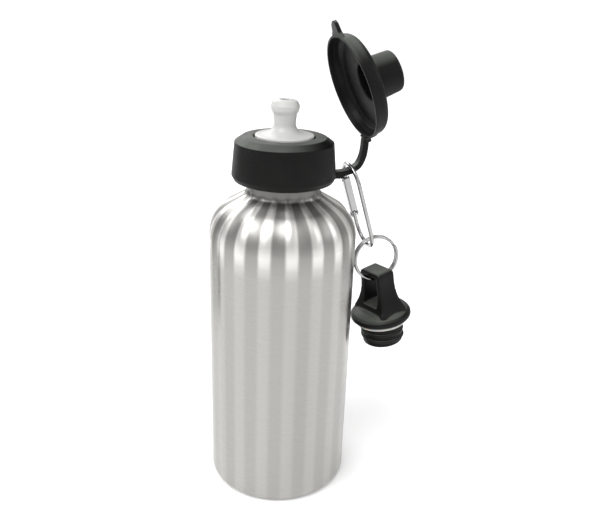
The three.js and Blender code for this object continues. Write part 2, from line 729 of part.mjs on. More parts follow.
canteen.add(part("bottle_shell", bottleShell(), PAINT.steel));
canteen.add(part("mouth_ring", mouthRing(), PAINT.steel));
const gasket = ringSeal(MOUTH_R + 0.4, rimR - 0.6, rimTop + CLEARANCE, gasketTop);
canteen.add(part("neck_gasket", gasket, PAINT.seal));
canteen.add(part("cap_collar", capCollar(), PAINT.black));
canteen.add(part("valve_post", valvePost(), PAINT.black));
canteen.add(part("drinking_nozzle", drinkingNozzle(), PAINT.white));
canteen.add(part("nozzle_seal_ring", nozzleSeal(), PAINT.seal));
canteen.add(part("tether_ring", tetherRing(), PAINT.black));
canteen.add(part("cover_strap", coverStrap(), PAINT.black));

const cover = part("dust_cover", dustCover(), PAINT.black);
cover.position.set(openCentre.x, 0, openCentre.z);
cover.rotation.y = coverTilt * DEG;
canteen.add(cover);

const clip = new THREE.Group();
clip.position.set(clipTop.x, 0, clipTop.z);
clip.rotation.y = -clipLean;
clip.add(part("carabiner_frame", clipFrame(), PAINT.chrome));
clip.add(part("carabiner_gate", clipGate(), PAINT.chrome));
clip.add(part("gate_rivet", rivet(), PAINT.chrome));
clip.add(part("gate_latch_pin", latchPin(), PAINT.chrome));
canteen.add(clip);

// the ring hangs in the clip's lower bend, a little to the outside of it
const clipBottom = {
  x: clipTop.x + CLIP_L * Math.sin(clipLean),
  z: clipTop.z - CLIP_L * Math.cos(clipLean),
};
const ringCentre = {
  x: clipBottom.x + ringReach * Math.sin(RING_HANG * DEG),
  z: clipBottom.z - ringReach * Math.cos(RING_HANG * DEG),
};
const ring = part("split_ring", wire(new TwoTurns(), RING_WIRE_R, 72, 8), PAINT.chrome);
ring.position.set(ringCentre.x, 0, ringCentre.z);
canteen.add(ring);

// the handle's underside rests across the ring's lowest stretch
const ringLow = {
  x: ringCentre.x + RING_R * Math.sin(LOOP_LEAN * DEG),
  z: ringCentre.z - RING_R * Math.cos(LOOP_LEAN * DEG),
};
const spare = new THREE.Group();
spare.position.set(
  ringLow.x + gasketFaceBelow * Math.sin(LOOP_LEAN * DEG),
  0,
  ringLow.z - gasketFaceBelow * Math.cos(LOOP_LEAN * DEG),
);
spare.rotation.y = -LOOP_LEAN * DEG;
const turnedCap = new THREE.Group();
turnedCap.rotation.z = LOOP_TURN * DEG;
turnedCap.add(part("loop_cap_shell", loopCap(), PAINT.black));
const spareSeal = ringSeal(loopGasketBore, loopGasketR, -CLEARANCE - GASKET_T, -CLEARANCE);
turnedCap.add(part("loop_cap_gasket", spareSeal, PAINT.seal));
spare.add(turnedCap);
canteen.add(spare);

export default canteen;
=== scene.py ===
"""A metal sports bottle: push-pull cap, tethered dust cover, and a spare cap on a clip and ring.

Laid out as an add-on. Each operator makes one piece or one group of like pieces around the
loaded frame. Outlines are written in millimetres as (radius, height, fillet) and become metres
in the mesh.
"""

import json
from math import cos, degrees, pi, radians, sin, sqrt, tan
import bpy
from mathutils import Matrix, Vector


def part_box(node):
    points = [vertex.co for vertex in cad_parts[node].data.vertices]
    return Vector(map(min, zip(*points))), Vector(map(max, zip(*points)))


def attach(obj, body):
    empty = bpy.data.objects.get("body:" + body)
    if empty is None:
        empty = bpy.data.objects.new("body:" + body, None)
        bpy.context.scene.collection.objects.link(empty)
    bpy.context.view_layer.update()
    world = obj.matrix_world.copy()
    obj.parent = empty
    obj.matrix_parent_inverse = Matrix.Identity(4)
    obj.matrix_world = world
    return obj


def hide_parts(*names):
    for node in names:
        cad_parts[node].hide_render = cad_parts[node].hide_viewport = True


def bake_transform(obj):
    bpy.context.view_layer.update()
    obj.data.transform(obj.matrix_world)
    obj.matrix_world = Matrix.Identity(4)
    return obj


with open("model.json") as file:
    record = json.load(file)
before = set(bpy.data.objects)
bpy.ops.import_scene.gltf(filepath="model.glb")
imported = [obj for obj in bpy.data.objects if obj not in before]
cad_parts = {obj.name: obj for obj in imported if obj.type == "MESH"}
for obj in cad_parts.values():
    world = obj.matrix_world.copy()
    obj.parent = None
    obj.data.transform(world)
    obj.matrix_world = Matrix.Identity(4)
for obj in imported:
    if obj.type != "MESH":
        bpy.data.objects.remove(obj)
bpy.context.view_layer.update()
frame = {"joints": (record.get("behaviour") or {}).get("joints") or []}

from types import SimpleNamespace

import bmesh
import bpy
import numpy as np
from mathutils import Matrix, Vector

bl_info = {
    "name": "Sports Bottle With Spare Cap",
    "version": (1, 0, 0),
    "blender": (4, 5, 0),
    "location": "View3D > Sidebar > Bottle",
    "description": "Makes a metal bottle with a sport cap, a tethered cover and a spare loop cap",
    "category": "Add Mesh",
}

MM = 0.001
JOINTS = {joint["name"]: joint for joint in frame["joints"]}
UP = Vector((0, 0, 1))

# Fixed sizes that pieces share, in millimetres.
GAP = 0.35  # clearance between two separate pieces
RING_H = 3.3  # height of the tether ring, and of the strap's root on it
TUBE_WALL = 3  # wall of the ring fixed in the mouth
LIP_H = 1.4  # height of the shell's rolled lip
FOOT_R, FOOT_RISE = 19, 2.2  # the pressed foot: its flat middle and the groove round it
MOUTH_DEPTH, MOUTH_LEAD = 13.5, 1.2  # rim to the mouth ring's lower end, and up to its ridge
PLUG_LEAD = 1.6  # a plug's lower end to its ridge
SPARE_SEAL_H = 1.7  # height of the spare cap's gasket
RIVET_R, LATCH_R = 0.6, 0.38  # the gate's pins
LATCH_LIP = 0.6  # how far the latch notch reaches past the wire's middle
WATER_HOLES, WATER_HOLE_R, WATER_HOLE_OUT = 4, 1.5, 3.1  # holes round the post, out from its side
BEND_AT = 0.47  # share of the strap's route where its two halves meet

# Looks and stage that pieces share.
SHEEN_LIGHT_FROM = (-0.42, -0.1, 0.9)  # faces that look this way, up and left, get a pale painted sheen of light
SHEEN_COLOUR = (0.105, 0.112, 0.1, 1.0)  # colour of that painted sheen
LOBES = (((-0.62, -0.3, 0.72), 0.5), ((0.55, -0.55, 0.62), 0.3))  # the dome's bright patches
CAMERA_AT = (-0.09718, -0.31200, 0.25290)
LENS, SENSOR = 41.76, 36  # the camera's, in millimetres


# ------------------------------------------------------------------ places taken from the frame
def low(node):
    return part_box(node)[0] / MM


def high(node):
    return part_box(node)[1] / MM


def turned_about(joint, angle):
    """The motion of a hinge by an angle in degrees, in metres."""
    pole = Vector(joint["pos_m"])
    turn = Matrix.Rotation(radians(angle), 4, Vector(joint["axis"]))
    return Matrix.Translation(pole) @ turn @ Matrix.Translation(-pole)


def leaning_frame(joint, drop):
    """A frame whose X is the hinge's axis and whose origin is drop millimetres below its pole."""
    across = Vector(joint["axis"]).normalized()
    up = across.cross(Vector((0, 1, 0)))
    pole = Vector(joint["pos_m"])
    pole.y = 0
    matrix = Matrix((across, (0, 1, 0), up)).transposed().to_4x4()
    matrix.translation = pole - up * drop * MM
    return matrix


# ------------------------------------------------------------------ sizes and colours
def length(default, name, description):
    """A length property from a default in millimetres."""
    return bpy.props.FloatProperty(
        name=name, description=description, default=default * MM,
        min=0.0, unit="LENGTH", precision=5
    )


def turn(default, name, description):
    """An angle property from a default in degrees."""
    return bpy.props.FloatProperty(
        name=name, description=description, default=radians(default), unit="ROTATION"
    )


def count(default, name, description):
    return bpy.props.IntProperty(name=name, description=description, default=default, min=1)


def colour(default, name, description):
    return bpy.props.FloatVectorProperty(
        name=name, description=description, default=(*default, 1.0),
        size=4, min=0.0, max=1.0, subtype="COLOR"
    )


class BottleSizes(bpy.types.PropertyGroup):
    """The metal bottle."""

    body_r: length(high("bottle_shell").x, "Body radius", "Outside radius of the straight side")
    body_top: length(136.2, "Body height", "Height where the side meets the shoulder")
    shoulder_r: length(19.1, "Shoulder radius", "Radius of the shoulder's arc")
    shoulder_sweep: turn(
        60, "Shoulder sweep", "Angle that the arc turns through before it runs on as a cone"
    )
    neck_r: length(17.8, "Neck radius", "Outside radius of the neck")
    neck_fillet: length(4, "Neck fillet", "Radius between the shoulder's cone and the neck")
    sheet: length(0.8, "Sheet", "Thickness of the drawn sheet")
    base_r: length(3.6, "Base corner", "Radius of the corner round the base")
    flutes: count(18, "Flutes", "How many shallow flutes run down the side")
    side_flute: length(0.32, "Side flute", "Depth of a flute on the side")
    shoulder_flute: length(0.8, "Shoulder flute", "Depth of a flute on the shoulder")
    mouth_r: length(12.3, "Mouth bore", "Radius of the mouth at its thread's root")
    rim_r: length(16.8, "Rim radius", "Outside radius of the mouth's rim")


class ThreadSizes(bpy.types.PropertyGroup):
    """The one screw thread that both caps use."""

    pitch: length(4, "Pitch", "Rise of one turn")
    crest: length(0.9, "Crest height", "How far the ridge stands from its wall")
    play: length(0.5, "Play", "Gap between a crest and the wall across from it")
    plug: length(11.5, "Plug length", "Length of a cap's threaded tube below the rim")
    wall: length(1.7, "Plug wall", "Thickness of the threaded tube")


class CapSizes(bpy.types.PropertyGroup):
    """The sport cap and its nozzle."""

    collar_r: length(-low("cap_collar").x, "Collar radius", "Outside radius above the lower bevel")
    top_r: length(23.7, "Collar top radius", "Outside radius at the top edge of the side")
    side: length(18.3, "Collar side", "Height of the collar's side")
    cone: length(2.6, "Cone height", "Rise of the sloping top")
    cone_r: length(20.1, "Cone radius", "Radius at the cone's top")
    wall: length(2.4, "Skirt wall", "Thickness of the skirt")
    well_r: length(14.8, "Well radius", "Radius of the hole that the nozzle sits in")
    nozzle_r: length(high("drinking_nozzle").x, "Nozzle base", "Radius of the nozzle's base disc")
    stem_r: length(5.2, "Nozzle stem", "Radius of the nozzle's waist")
    head_r: length(6.8, "Nozzle head", "Radius of the nozzle's head")
    hole_r: length(2.3, "Drinking hole", "Radius of the hole in the head")
    post_r: length(2.6, "Valve post", "Radius of the fixed post inside the nozzle")


class TetherSizes(bpy.types.PropertyGroup):
    """The strap that holds the dust cover, and the cover itself."""

    width: length(5, "Strap width", "Width of the strap")
    thickness: length(2.9, "Strap thickness", "Thickness of the strap")
    ribs: count(5, "Root ribs", "Grip ribs across the strap's root")
    cover_r: length(25.4, "Cover radius", "Outside radius of the cover's lip")
    cover_h: length(23.7, "Cover height", "Rim to the top of the cover's knob")
    drum_h: length(7.6, "Drum height", "Rim to the top of the cover's drum")
    lip_h: length(2, "Lip height", "Height of the lip round the rim")
    knob_r: length(10.2, "Knob radius", "Radius of the knob over the nozzle")
    wall: length(1, "Cover wall", "Thickness of the moulded cover")
    tab: length(6.5, "Finger tab", "How far the lifting tab stands out")
    tab_w: length(6, "Tab width", "Width of the lifting tab")


class HangerSizes(bpy.types.PropertyGroup):
    """The wire clip and the split ring."""

    wire_r: length(1, "Clip wire", "Radius of the clip's wire")
    clip_w: length(19, "Clip width", "Leg to leg, between the wire's centre lines")
    clip_l: length(45.8, "Clip length", "Length between the wire's centre lines")
    nose_at: length(9.6, "Nose", "Distance of the gate's top below the clip's top")
    hinge_at: length(30.4, "Gate hinge", "Distance of the gate's rivet below the clip's top")
    gate_wall: length(0.5, "Gate wall", "Thickness of the gate's folded sheet")
    ring_r: length(11.7, "Ring radius", "Radius of the split ring's centre line")
    ring_wire: length(0.75, "Ring wire", "Radius of the split ring's wire")


class SpareSizes(bpy.types.PropertyGroup):
    """The spare cap with its loop handle."""

    flange_r: length(16.4, "Flange radius", "Radius of the flange over the gasket")
    flange_h: length(4.2, "Flange height", "Height of the flange's side")
    tall: length(29, "Cap height", "Gasket face to the handle's top")
    handle_t: length(2.8, "Handle bar", "Thickness of the handle's bar")
    handle_w: length(10.4, "Handle width", "Width of the handle's bar")
    handle_l: length(15.4, "Handle length", "Length across the handle's legs")
    gap_w: length(9.6, "Handle gap", "Width of the gap under the handle")
    gap_from: length(9.2, "Gap floor", "Height of the gap's floor")
    turned: turn(17, "Handle turn", "How far the handle is turned from the ring's axis")
    gasket_r: length(13.9, "Gasket radius", "Outside radius of the spare gasket")


class Finishes(bpy.types.PropertyGroup):
    """Base colours."""

    steel: colour((0.405, 0.398, 0.382), "Steel", "Brushed metal of the bottle")
    black: colour((0.0055, 0.0055, 0.0053), "Black", "Moulded black plastic")
    strap: colour((0.005, 0.005, 0.005), "Strap", "Flexible black plastic")
    white: colour((0.58, 0.58, 0.565), "White", "Moulded nozzle")
    seal: colour((0.62, 0.63, 0.6), "Seal", "Milky silicone")
    plate: colour((0.42, 0.42, 0.42), "Plate", "Bright plated wire")
    floor: colour((0.93, 0.93, 0.93), "Floor", "Pale floor")


GROUPS = {
    "bottle": BottleSizes,
    "thread": ThreadSizes,
    "cap": CapSizes,
    "tether": TetherSizes,
    "hanger": HangerSizes,
    "spare": SpareSizes,
    "finish": Finishes,
}


def sizes(name):
    """One property group's values, with lengths in millimetres."""
    group = getattr(bpy.context.scene, "bottle_" + name)
    values = {}
    for key in type(group).__annotations__:
        value = getattr(group, key)
        in_metres = group.bl_rna.properties[key].unit == "LENGTH"
        values[key] = value / MM if in_metres else value
    return SimpleNamespace(**values)


# ------------------------------------------------------------------ outlines and paths
def rounded(corners, steps=5):
    """Points of an outline whose (radius, height, fillet) corners are turned into arcs."""
    points = []
    n = len(corners)
    for i, corner in enumerate(corners):
        here = Vector(corner[:2])
        fillet = corner[2] if len(corner) > 2 else 0
        before = Vector(corners[i - 1][:2]) - here
        after = Vector(corners[(i + 1) % n][:2]) - here
        if fillet <= 0 or before.length < 1e-6 or after.length < 1e-6:
            points.append(here)
            continue
        opening = before.angle(after)
        if opening > radians(179):
            points.append(here)
            continue
        reach = min(fillet / tan(opening / 2), 0.48 * before.length, 0.48 * after.length)
        start = here + before.normalized() * reach
        end = here + after.normalized() * reach
        for k in range(steps + 1):
            f = k / steps
            points.append(start * (1 - f) ** 2 + here * (2 * f * (1 - f)) + end * f * f)
    return points


def arc(centre_r, centre_z, radius, start, end, steps):
    """Outline points on an arc, angles in degrees from the outward direction."""
    points = []
    for k in range(steps + 1):
        a = radians(start + (end - start) * k / steps)
        points.append((centre_r + radius * cos(a), centre_z + radius * sin(a)))
    return points


def smooth_path(points, spacing=0.4):
    """Evenly spaced points on a centripetal Catmull-Rom curve through the given points."""
    points = [Vector(p) for p in points]
    ends = [points[0] * 2 - points[1], *points, points[-1] * 2 - points[-2]]
    dense = []
    for p0, p1, p2, p3 in zip(ends, ends[1:], ends[2:], ends[3:]):
        t1 = sqrt((p1 - p0).length)
        t2 = t1 + sqrt((p2 - p1).length)
        t3 = t2 + sqrt((p3 - p2).length)
        for k in range(24):
            t = t1 + (t2 - t1) * k / 24
            a1 = p0.lerp(p1, t / t1)
            a2 = p1.lerp(p2, (t - t1) / (t2 - t1))
            a3 = p2.lerp(p3, (t - t2) / (t3 - t2))
            b1 = a1.lerp(a2, t / t2)
            b2 = a2.lerp(a3, (t - t1) / (t3 - t1))
            dense.append(b1.lerp(b2, (t - t1) / (t2 - t1)))
    dense.append(points[-1])
    return evenly(dense, spacing)


def evenly(points, spacing):
    """The same path with its points a given distance apart."""
    runs = np.array([(b - a).length for a, b in zip(points, points[1:])])
    along = np.concatenate([[0], np.cumsum(runs)])
    steps = max(2, round(along[-1] / spacing))
    wanted = np.linspace(0, along[-1], steps + 1)
    xyz = np.array(points)
    columns = [np.interp(wanted, along, xyz[:, k]) for k in range(3)]
    return [Vector(p) for p in np.stack(columns, 1)]


# ------------------------------------------------------------ meshes, millimetres in, metres out
def new_mesh(name, bm):
    """A mesh from a bmesh, which is freed."""
    mesh = bpy.data.meshes.new(name)
    bm.to_mesh(mesh)
    bm.free()
    return mesh


def new_object(name, data):
    """An object in the scene."""
    obj = bpy.data.objects.new(name, data)
    bpy.context.scene.collection.objects.link(obj)
    return obj


def piece_from(name, bm, place=None, sharp=32):
    """An object at the origin from a bmesh in millimetres, with its place put into the mesh."""
    bmesh.ops.recalc_face_normals(bm, faces=bm.faces)
    mesh = new_mesh(name, bm)
    mesh.transform(Matrix.Scale(MM, 4))
    if place is not None:
        mesh.transform(place)
    mesh.shade_smooth()
    mesh.set_sharp_from_angle(angle=radians(sharp))
    return new_object(name, mesh)


def lathe(outline, segments=160):
    """A closed solid of revolution about Z from a closed outline of (radius, height) points."""
    bm = bmesh.new()
    rings = []
    for r, z in outline:
        if r < 1e-6:
            rings.append([bm.verts.new((0, 0, z))])
            continue
        ring = []
        for k in range(segments):
            a = 2 * pi * k / segments
            ring.append(bm.verts.new((r * cos(a), r * sin(a), z)))
        rings.append(ring)
    pairs = list(zip(rings, rings[1:]))
    if len(rings[0]) > 1 or len(rings[-1]) > 1:
        pairs.append((rings[-1], rings[0]))
    for a, b in pairs:
        for k in range(segments):
            j = (k + 1) % segments
            corners = [a[k % len(a)], a[j % len(a)], b[j % len(b)], b[k % len(b)]]
            corners = list(dict.fromkeys(corners))
            if len(corners) > 2:
                bm.faces.new(corners)
    return bm


def loft(sections):
    """A closed skin over rows of points, with flat ends."""
    bm = bmesh.new()
    rows = [[bm.verts.new(p) for p in section] for section in sections]
    n = len(rows[0])
    for a, b in zip(rows, rows[1:]):
        for k in range(n):
            bm.faces.new((a[k], a[(k + 1) % n], b[(k + 1) % n], b[k]))
    bm.faces.new(rows[0])
    bm.faces.new(rows[-1])
    return bm


def wire_sections(points, radius, sides):
    """Rings round a path, drawn in to a dome at each end."""
    sections = []
    normal = None
    last = len(points) - 1
    tangents = []
    for i in range(last + 1):
        tangents.append((points[min(i + 1, last)] - points[max(i - 1, 0)]).normalized())
    def ring(centre, tangent, r):
        side = tangent.cross(normal)
        turn_step = 2 * pi / sides
        return [
            centre + (normal * cos(k * turn_step) + side * sin(k * turn_step)) * r for k in range(
                sides
            )
        ]
    dome = [(0.12, 0.35), (0.35, 0.72), (0.7, 0.94)]
    for i, (point, tangent) in enumerate(zip(points, tangents)):
        if normal is None:
            normal = tangent.orthogonal().normalized()
        normal = (normal - tangent * normal.dot(tangent)).normalized()
        if i == 0:
            for back, share in dome:
                sections.append(
                    ring(point - tangent * radius * 0.6 * (1 - back), tangent, radius * share)
                )
        sections.append(ring(point, tangent, radius))
        if i == last:
            for back, share in reversed(dome):
                sections.append(
                    ring(point + tangent * radius * 0.6 * (1 - back), tangent, radius * share)
                )
    return sections


def prism(outline, start, end):
    """A flat (x, y) outline pushed along Z."""
    bm = bmesh.new()
    bottom = [bm.verts.new((x, y, start)) for x, y in outline]
    top = [bm.verts.new((x, y, end)) for x, y in outline]
    n = len(outline)
    for k in range(n):
        bm.faces.new((bottom[k], bottom[(k + 1) % n], top[(k + 1) % n], top[k]))
    bm.faces.new(bottom)
    bm.faces.new(top)
    return bm


def block(x, y, z):
    """A box from three (from, to) pairs."""
    return prism([(x[0], y[0]), (x[1], y[0]), (x[1], y[1]), (x[0], y[1])], *z)


def cut(obj, *tools, operation="DIFFERENCE"):
    """Takes each tool out of an object, or joins it on, and removes the tool."""
    for tool in tools:
        modifier = obj.modifiers.new("cut", "BOOLEAN")
        modifier.operation = operation
        modifier.solver = "EXACT"
        modifier.object = tool
        apply_modifiers(obj)
        discard(tool)
    return obj


def discard(obj):
    mesh = obj.data
    bpy.data.objects.remove(obj)
    bpy.data.meshes.remove(mesh)


def apply_modifiers(obj):
    """Turns what the modifiers make into the object's own plain mesh."""
    depsgraph = bpy.context.evaluated_depsgraph_get()
    made = bpy.data.meshes.new_from_object(obj.evaluated_get(depsgraph), depsgraph=depsgraph)
    old = obj.data
    obj.modifiers.clear()
    made.name = obj.name
    obj.data = made
    bpy.data.meshes.remove(old)


def joined(name, *objs):
    """One object from several, all at the origin."""
    bm = bmesh.new()
    for obj in objs:
        bm.from_mesh(obj.data)
    mesh = new_mesh(name, bm)
    for material in objs[0].data.materials:
        mesh.materials.append(material)
    for obj in objs:
        discard(obj)
    return new_object(name, mesh)


def tidy_normals(obj, sharp=32):
    """Merges doubles, turns the faces outwards and marks the sharp edges again."""
    bm = bmesh.new()
    bm.from_mesh(obj.data)
    bmesh.ops.remove_doubles(bm, verts=bm.verts, dist=2e-6)
    bmesh.ops.dissolve_degenerate(bm, edges=bm.edges, dist=1e-6)
    bmesh.ops.recalc_face_normals(bm, faces=bm.faces)
    bm.to_mesh(obj.data)
    bm.free()
    obj.data.shade_smooth()
    obj.data.set_sharp_from_angle(angle=radians(sharp))


def mark_edges(obj, full=0.5, spread=2):
    """Writes the 'edge' attribute: 1 where the surface turns sharply outwards, 0 where flat."""
    mesh = obj.data
    bm = bmesh.new()
    bm.from_mesh(mesh)
    worn = np.zeros(len(bm.verts))
    for edge in bm.edges:
        if len(edge.link_faces) == 2:
            bend = edge.calc_face_angle_signed(0) / full
            for vert in edge.verts:
                worn[vert.index] = max(worn[vert.index], min(bend, 1))
    pairs = np.array([[v.index for v in edge.verts] for edge in bm.edges])
    bm.free()
    for _ in range(spread):
        total = np.zeros(len(worn))
        links = np.zeros(len(worn))
        for a, b in (pairs.T, pairs.T[::-1]):
            np.add.at(total, a, worn[b])
            np.add.at(links, a, 1)
        worn = 0.5 * worn + 0.5 * total / np.maximum(links, 1)
    attribute = mesh.attributes.new("edge", "FLOAT", "POINT")
    attribute.data.foreach_set("value", worn.astype(np.float32))


def finish_piece(obj, material, slot, body, *nodes):
    """Gives a finished piece its material and its body, and hides the CAD nodes it stands for; the
    slot argument is not used.
    """
    mark_edges(obj)
    obj.data.materials.clear()
    obj.data.materials.append(finish(material))
    if nodes:
        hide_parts(*nodes)
    if body:
        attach(obj, body)
    return obj


# ------------------------------------------------------------------ node trees
class Wiring:
    """Adds nodes to a tree and joins their sockets."""

    def __init__(self, tree):
        self.tree = tree

    def add(self, kind, inputs=None, **settings):
        node = self.tree.nodes.new(kind)
        for key, value in settings.items():
            setattr(node, key, value)
        for key, value in (inputs or {}).items():
            self.put(value, node.inputs[key])
        return node

    def put(self, value, socket):
        if isinstance(value, bpy.types.NodeSocket):
            self.tree.links.new(value, socket)
        else:
            socket.default_value = value

    def maths(self, operation, *values):
        node = self.tree.nodes.new("ShaderNodeMath")
        node.operation = operation
        for value, socket in zip(values, node.inputs):
            self.put(value, socket)
        return node.outputs[0]

    def ramp(self, value, start, end, low_value=0.0, high_value=1.0):
        """A smooth step of a value between two marks."""
        node = self.add("ShaderNodeMapRange", interpolation_type="SMOOTHSTEP")
        for key, given in zip(
            ("Value", "From Min", "From Max", "To Min", "To Max"), (
                value, start, end, low_value, high_value
            )
        ):
            self.put(given, node.inputs[key])
        return node.outputs["Result"]

    def mix(self, factor, a, b):
        node = self.add("ShaderNodeMix", data_type="RGBA")
        self.put(factor, node.inputs[0])
        self.put(a, node.inputs[6])
        self.put(b, node.inputs[7])
        return node.outputs[2]


def geometry_tree(name, sockets):
    """A Geometry Nodes tree with named inputs, its wiring, and its input and output nodes."""
    tree = bpy.data.node_groups.new(name, "GeometryNodeTree")
    tree.interface.new_socket("Geometry", in_out="INPUT", socket_type="NodeSocketGeometry")
    for label, kind in sockets:
        tree.interface.new_socket(label, in_out="INPUT", socket_type="NodeSocket" + kind)
    tree.interface.new_socket("Material", in_out="INPUT", socket_type="NodeSocketMaterial")
    tree.interface.new_socket("Geometry", in_out="OUTPUT", socket_type="NodeSocketGeometry")
    wiring = Wiring(tree)
    return tree, wiring, wiring.add("NodeGroupInput").outputs, wiring.add("NodeGroupOutput")


def end_tree(wiring, geometry, material, output):
    """Realize Instances, then Set Material, then the output."""
    real = wiring.add("GeometryNodeRealizeInstances", {"Geometry": geometry})
    painted = wiring.add(
        "GeometryNodeSetMaterial", {"Geometry": real.outputs[0], "Material": material}
    )
    smooth = wiring.add("GeometryNodeSetShadeSmooth", {"Geometry": painted.outputs[0]})
    wiring.put(smooth.outputs[0], output.inputs[0])


def run_tree(obj, tree, values):
    """Puts a tree on an object with its inputs set by identifier, and makes the result its mesh."""
    modifier = obj.modifiers.new(tree.name, "NODES")
    modifier.node_group = tree
    for item in tree.interface.items_tree:
        if item.in_out == "INPUT" and item.name in values:
            modifier[item.identifier] = values[item.name]
    apply_modifiers(obj)
    return obj


def empty_piece(name):
    """An object with an empty mesh, for a tree that makes everything itself."""
    return new_object(name, bpy.data.meshes.new(name))


def flute_tree():
    """Presses flutes into a turned shell: deepest on the shoulder, fading at base and neck."""
    lengths = ("Side Depth", "Shoulder Depth", "Base", "Shoulder", "Neck", "Fade")
    tree, w, given, output = geometry_tree(
        "pressed_flutes", [("Flutes", "Int"), *((label, "Float") for label in lengths)]
    )
    position = w.add("GeometryNodeInputPosition").outputs[0]
    xyz = w.add("ShaderNodeSeparateXYZ", {0: position}).outputs
    angle = w.maths("ARCTAN2", xyz[1], xyz[0])
    wave = w.maths("COSINE", w.maths("MULTIPLY", angle, given["Flutes"]))
    valley = w.maths("MULTIPLY_ADD", wave, -0.5, 0.5)
    pressed = w.maths("POWER", valley, 0.8)
    fade = given["Fade"]
    on_side = w.ramp(xyz[2], given["Base"], w.maths("ADD", given["Base"], fade))
    rise = w.ramp(
        xyz[2], w.maths("SUBTRACT", given["Shoulder"], w.maths("MULTIPLY", fade, 0.6)),
        w.maths("ADD", given["Shoulder"], w.maths("MULTIPLY", fade, 0.6)),
        given["Side Depth"], given["Shoulder Depth"],
    )
    neck_from = w.maths("SUBTRACT", given["Neck"], w.maths("MULTIPLY", fade, 0.45))
    off_neck = w.ramp(
        xyz[2], neck_from, w.maths("ADD", given["Neck"], w.maths("MULTIPLY", fade, 0.1)), 1.0, 0.0
    )
    depth = w.maths("MULTIPLY", w.maths("MULTIPLY", rise, on_side), off_neck)
    inward = w.maths("MULTIPLY", w.maths("MULTIPLY", depth, pressed), -1.0)
    flat = w.add("ShaderNodeCombineXYZ", {0: xyz[0], 1: xyz[1]}).outputs[0]
    radial = w.add("ShaderNodeVectorMath", {0: flat}, operation="NORMALIZE").outputs[0]
    offset = w.add("ShaderNodeVectorMath", {0: radial, "Scale": inward}, operation="SCALE").outputs[
        0
    ]
    moved = w.add("GeometryNodeSetPosition", {"Geometry": given["Geometry"], "Offset": offset})
    # Masks that the steel uses to paint light: the shoulder and the part near the neck place
    # painted highlight and shade on the flutes, the neck band places painted shade, the crease band
    # places painted highlight bars.
    shoulder = w.ramp(xyz[2], w.maths("MULTIPLY_ADD", fade, -1.6, given["Shoulder"]),
                      w.maths("MULTIPLY_ADD", fade, 0.7, given["Shoulder"]))
    away = w.maths("ABSOLUTE", w.maths("SUBTRACT", xyz[2], given["Shoulder"]))
    marks = {
        "ridge": w.maths("SUBTRACT", 1.0, valley),
        "shoulder": shoulder,
        "upper": w.ramp(xyz[2], w.maths("MULTIPLY_ADD", fade, 1.1, given["Shoulder"]),
                        w.maths("MULTIPLY_ADD", fade, -0.6, given["Neck"])),
        "neck": w.ramp(xyz[2], w.maths("MULTIPLY_ADD", fade, -0.5, given["Neck"]),
                       w.maths("MULTIPLY_ADD", fade, -0.2, given["Neck"])),
        "crease_highlight": w.ramp(away, 0.0, w.maths("MULTIPLY", fade, 0.11), 1.0, 0.0),
    }
    made = moved.outputs[0]
    for label, value in marks.items():
        noted = w.add("GeometryNodeStoreNamedAttribute", {"Geometry": made, "Name": label})
        w.put(value, noted.inputs["Value"])
        made = noted.outputs[0]
    end_tree(w, made, given["Material"], output)
    return tree


def coil_tree():
    """A round wire wound about Z, thinned at both ends: a screw ridge, or a split ring's turns."""
    tree, w, given, output = geometry_tree(
        "wound_wire",
        [("Turns", "Float"), ("Rise", "Float"), ("Radius", "Float"), ("Wire", "Float"),
         ("Start", "Float"),
         ("Phase", "Float"), ("Taper", "Float"), ("Steps", "Int"), ("Sides", "Int")],
    )
    spiral = w.add(
        "GeometryNodeCurveSpiral",
        {"Resolution": given["Steps"], "Rotations": given["Turns"], "Start Radius": given["Radius"],
         "End Radius": given["Radius"],
         "Height": w.maths("MULTIPLY", given["Turns"], given["Rise"])},
    )
    along = w.add("GeometryNodeSplineParameter").outputs["Factor"]
    taper = w.maths("ADD", given["Taper"], 1e-4)
    rising = w.ramp(along, 0.0, taper, 0.12, 1.0)
    falling = w.ramp(w.maths("SUBTRACT", 1.0, along), 0.0, taper, 0.12, 1.0)
    profile = w.add(
        "GeometryNodeCurvePrimitiveCircle", {"Resolution": given["Sides"], "Radius": given["Wire"]}
    )
    skin = w.add(
        "GeometryNodeCurveToMesh",
        {"Curve": spiral.outputs[0], "Profile Curve": profile.outputs[0], "Fill Caps": True,
         "Scale": w.maths("MULTIPLY", rising, falling)},
    )
    lift = w.add("ShaderNodeCombineXYZ", {2: given["Start"]}).outputs[0]
    spin = w.add("ShaderNodeCombineXYZ", {2: given["Phase"]}).outputs[0]
    placed = w.add(
        "GeometryNodeTransform", {
            "Geometry": skin.outputs[0], "Translation": lift, "Rotation": spin
        }
    )
    end_tree(w, placed.outputs[0], given["Material"], output)
    return tree


def rib_tree():
    """Round ribs across a strap, spaced evenly along a straight run."""
    tree, w, given, output = geometry_tree(
        "strap_ribs", [
            ("From", "Vector"), ("To", "Vector"), ("Ribs", "Int"), ("Radius", "Float"),
            ("Width", "Float")
        ]
    )
    line = w.add("GeometryNodeCurvePrimitiveLine", {"Start": given["From"], "End": given["To"]})
    spots = w.add("GeometryNodeCurveToPoints", {"Curve": line.outputs[0], "Count": given["Ribs"]})
    bar = w.add(
        "GeometryNodeMeshCylinder",
        {"Vertices": 16, "Radius": given["Radius"], "Depth": given["Width"], "Side Segments": 1},
    )
    laid = w.add(
        "GeometryNodeTransform", {"Geometry": bar.outputs[0], "Rotation": (pi / 2, 0.0, 0.0)}
    )
    placed = w.add(
        "GeometryNodeInstanceOnPoints", {"Points": spots.outputs[0], "Instance": laid.outputs[0]}
    )
    end_tree(w, placed.outputs[0], given["Material"], output)
    return tree


TREES = {}


def tree_named(name, make):
    """A Geometry Nodes tree, built once."""
    if name not in TREES:
        TREES[name] = make()
    return TREES[name]


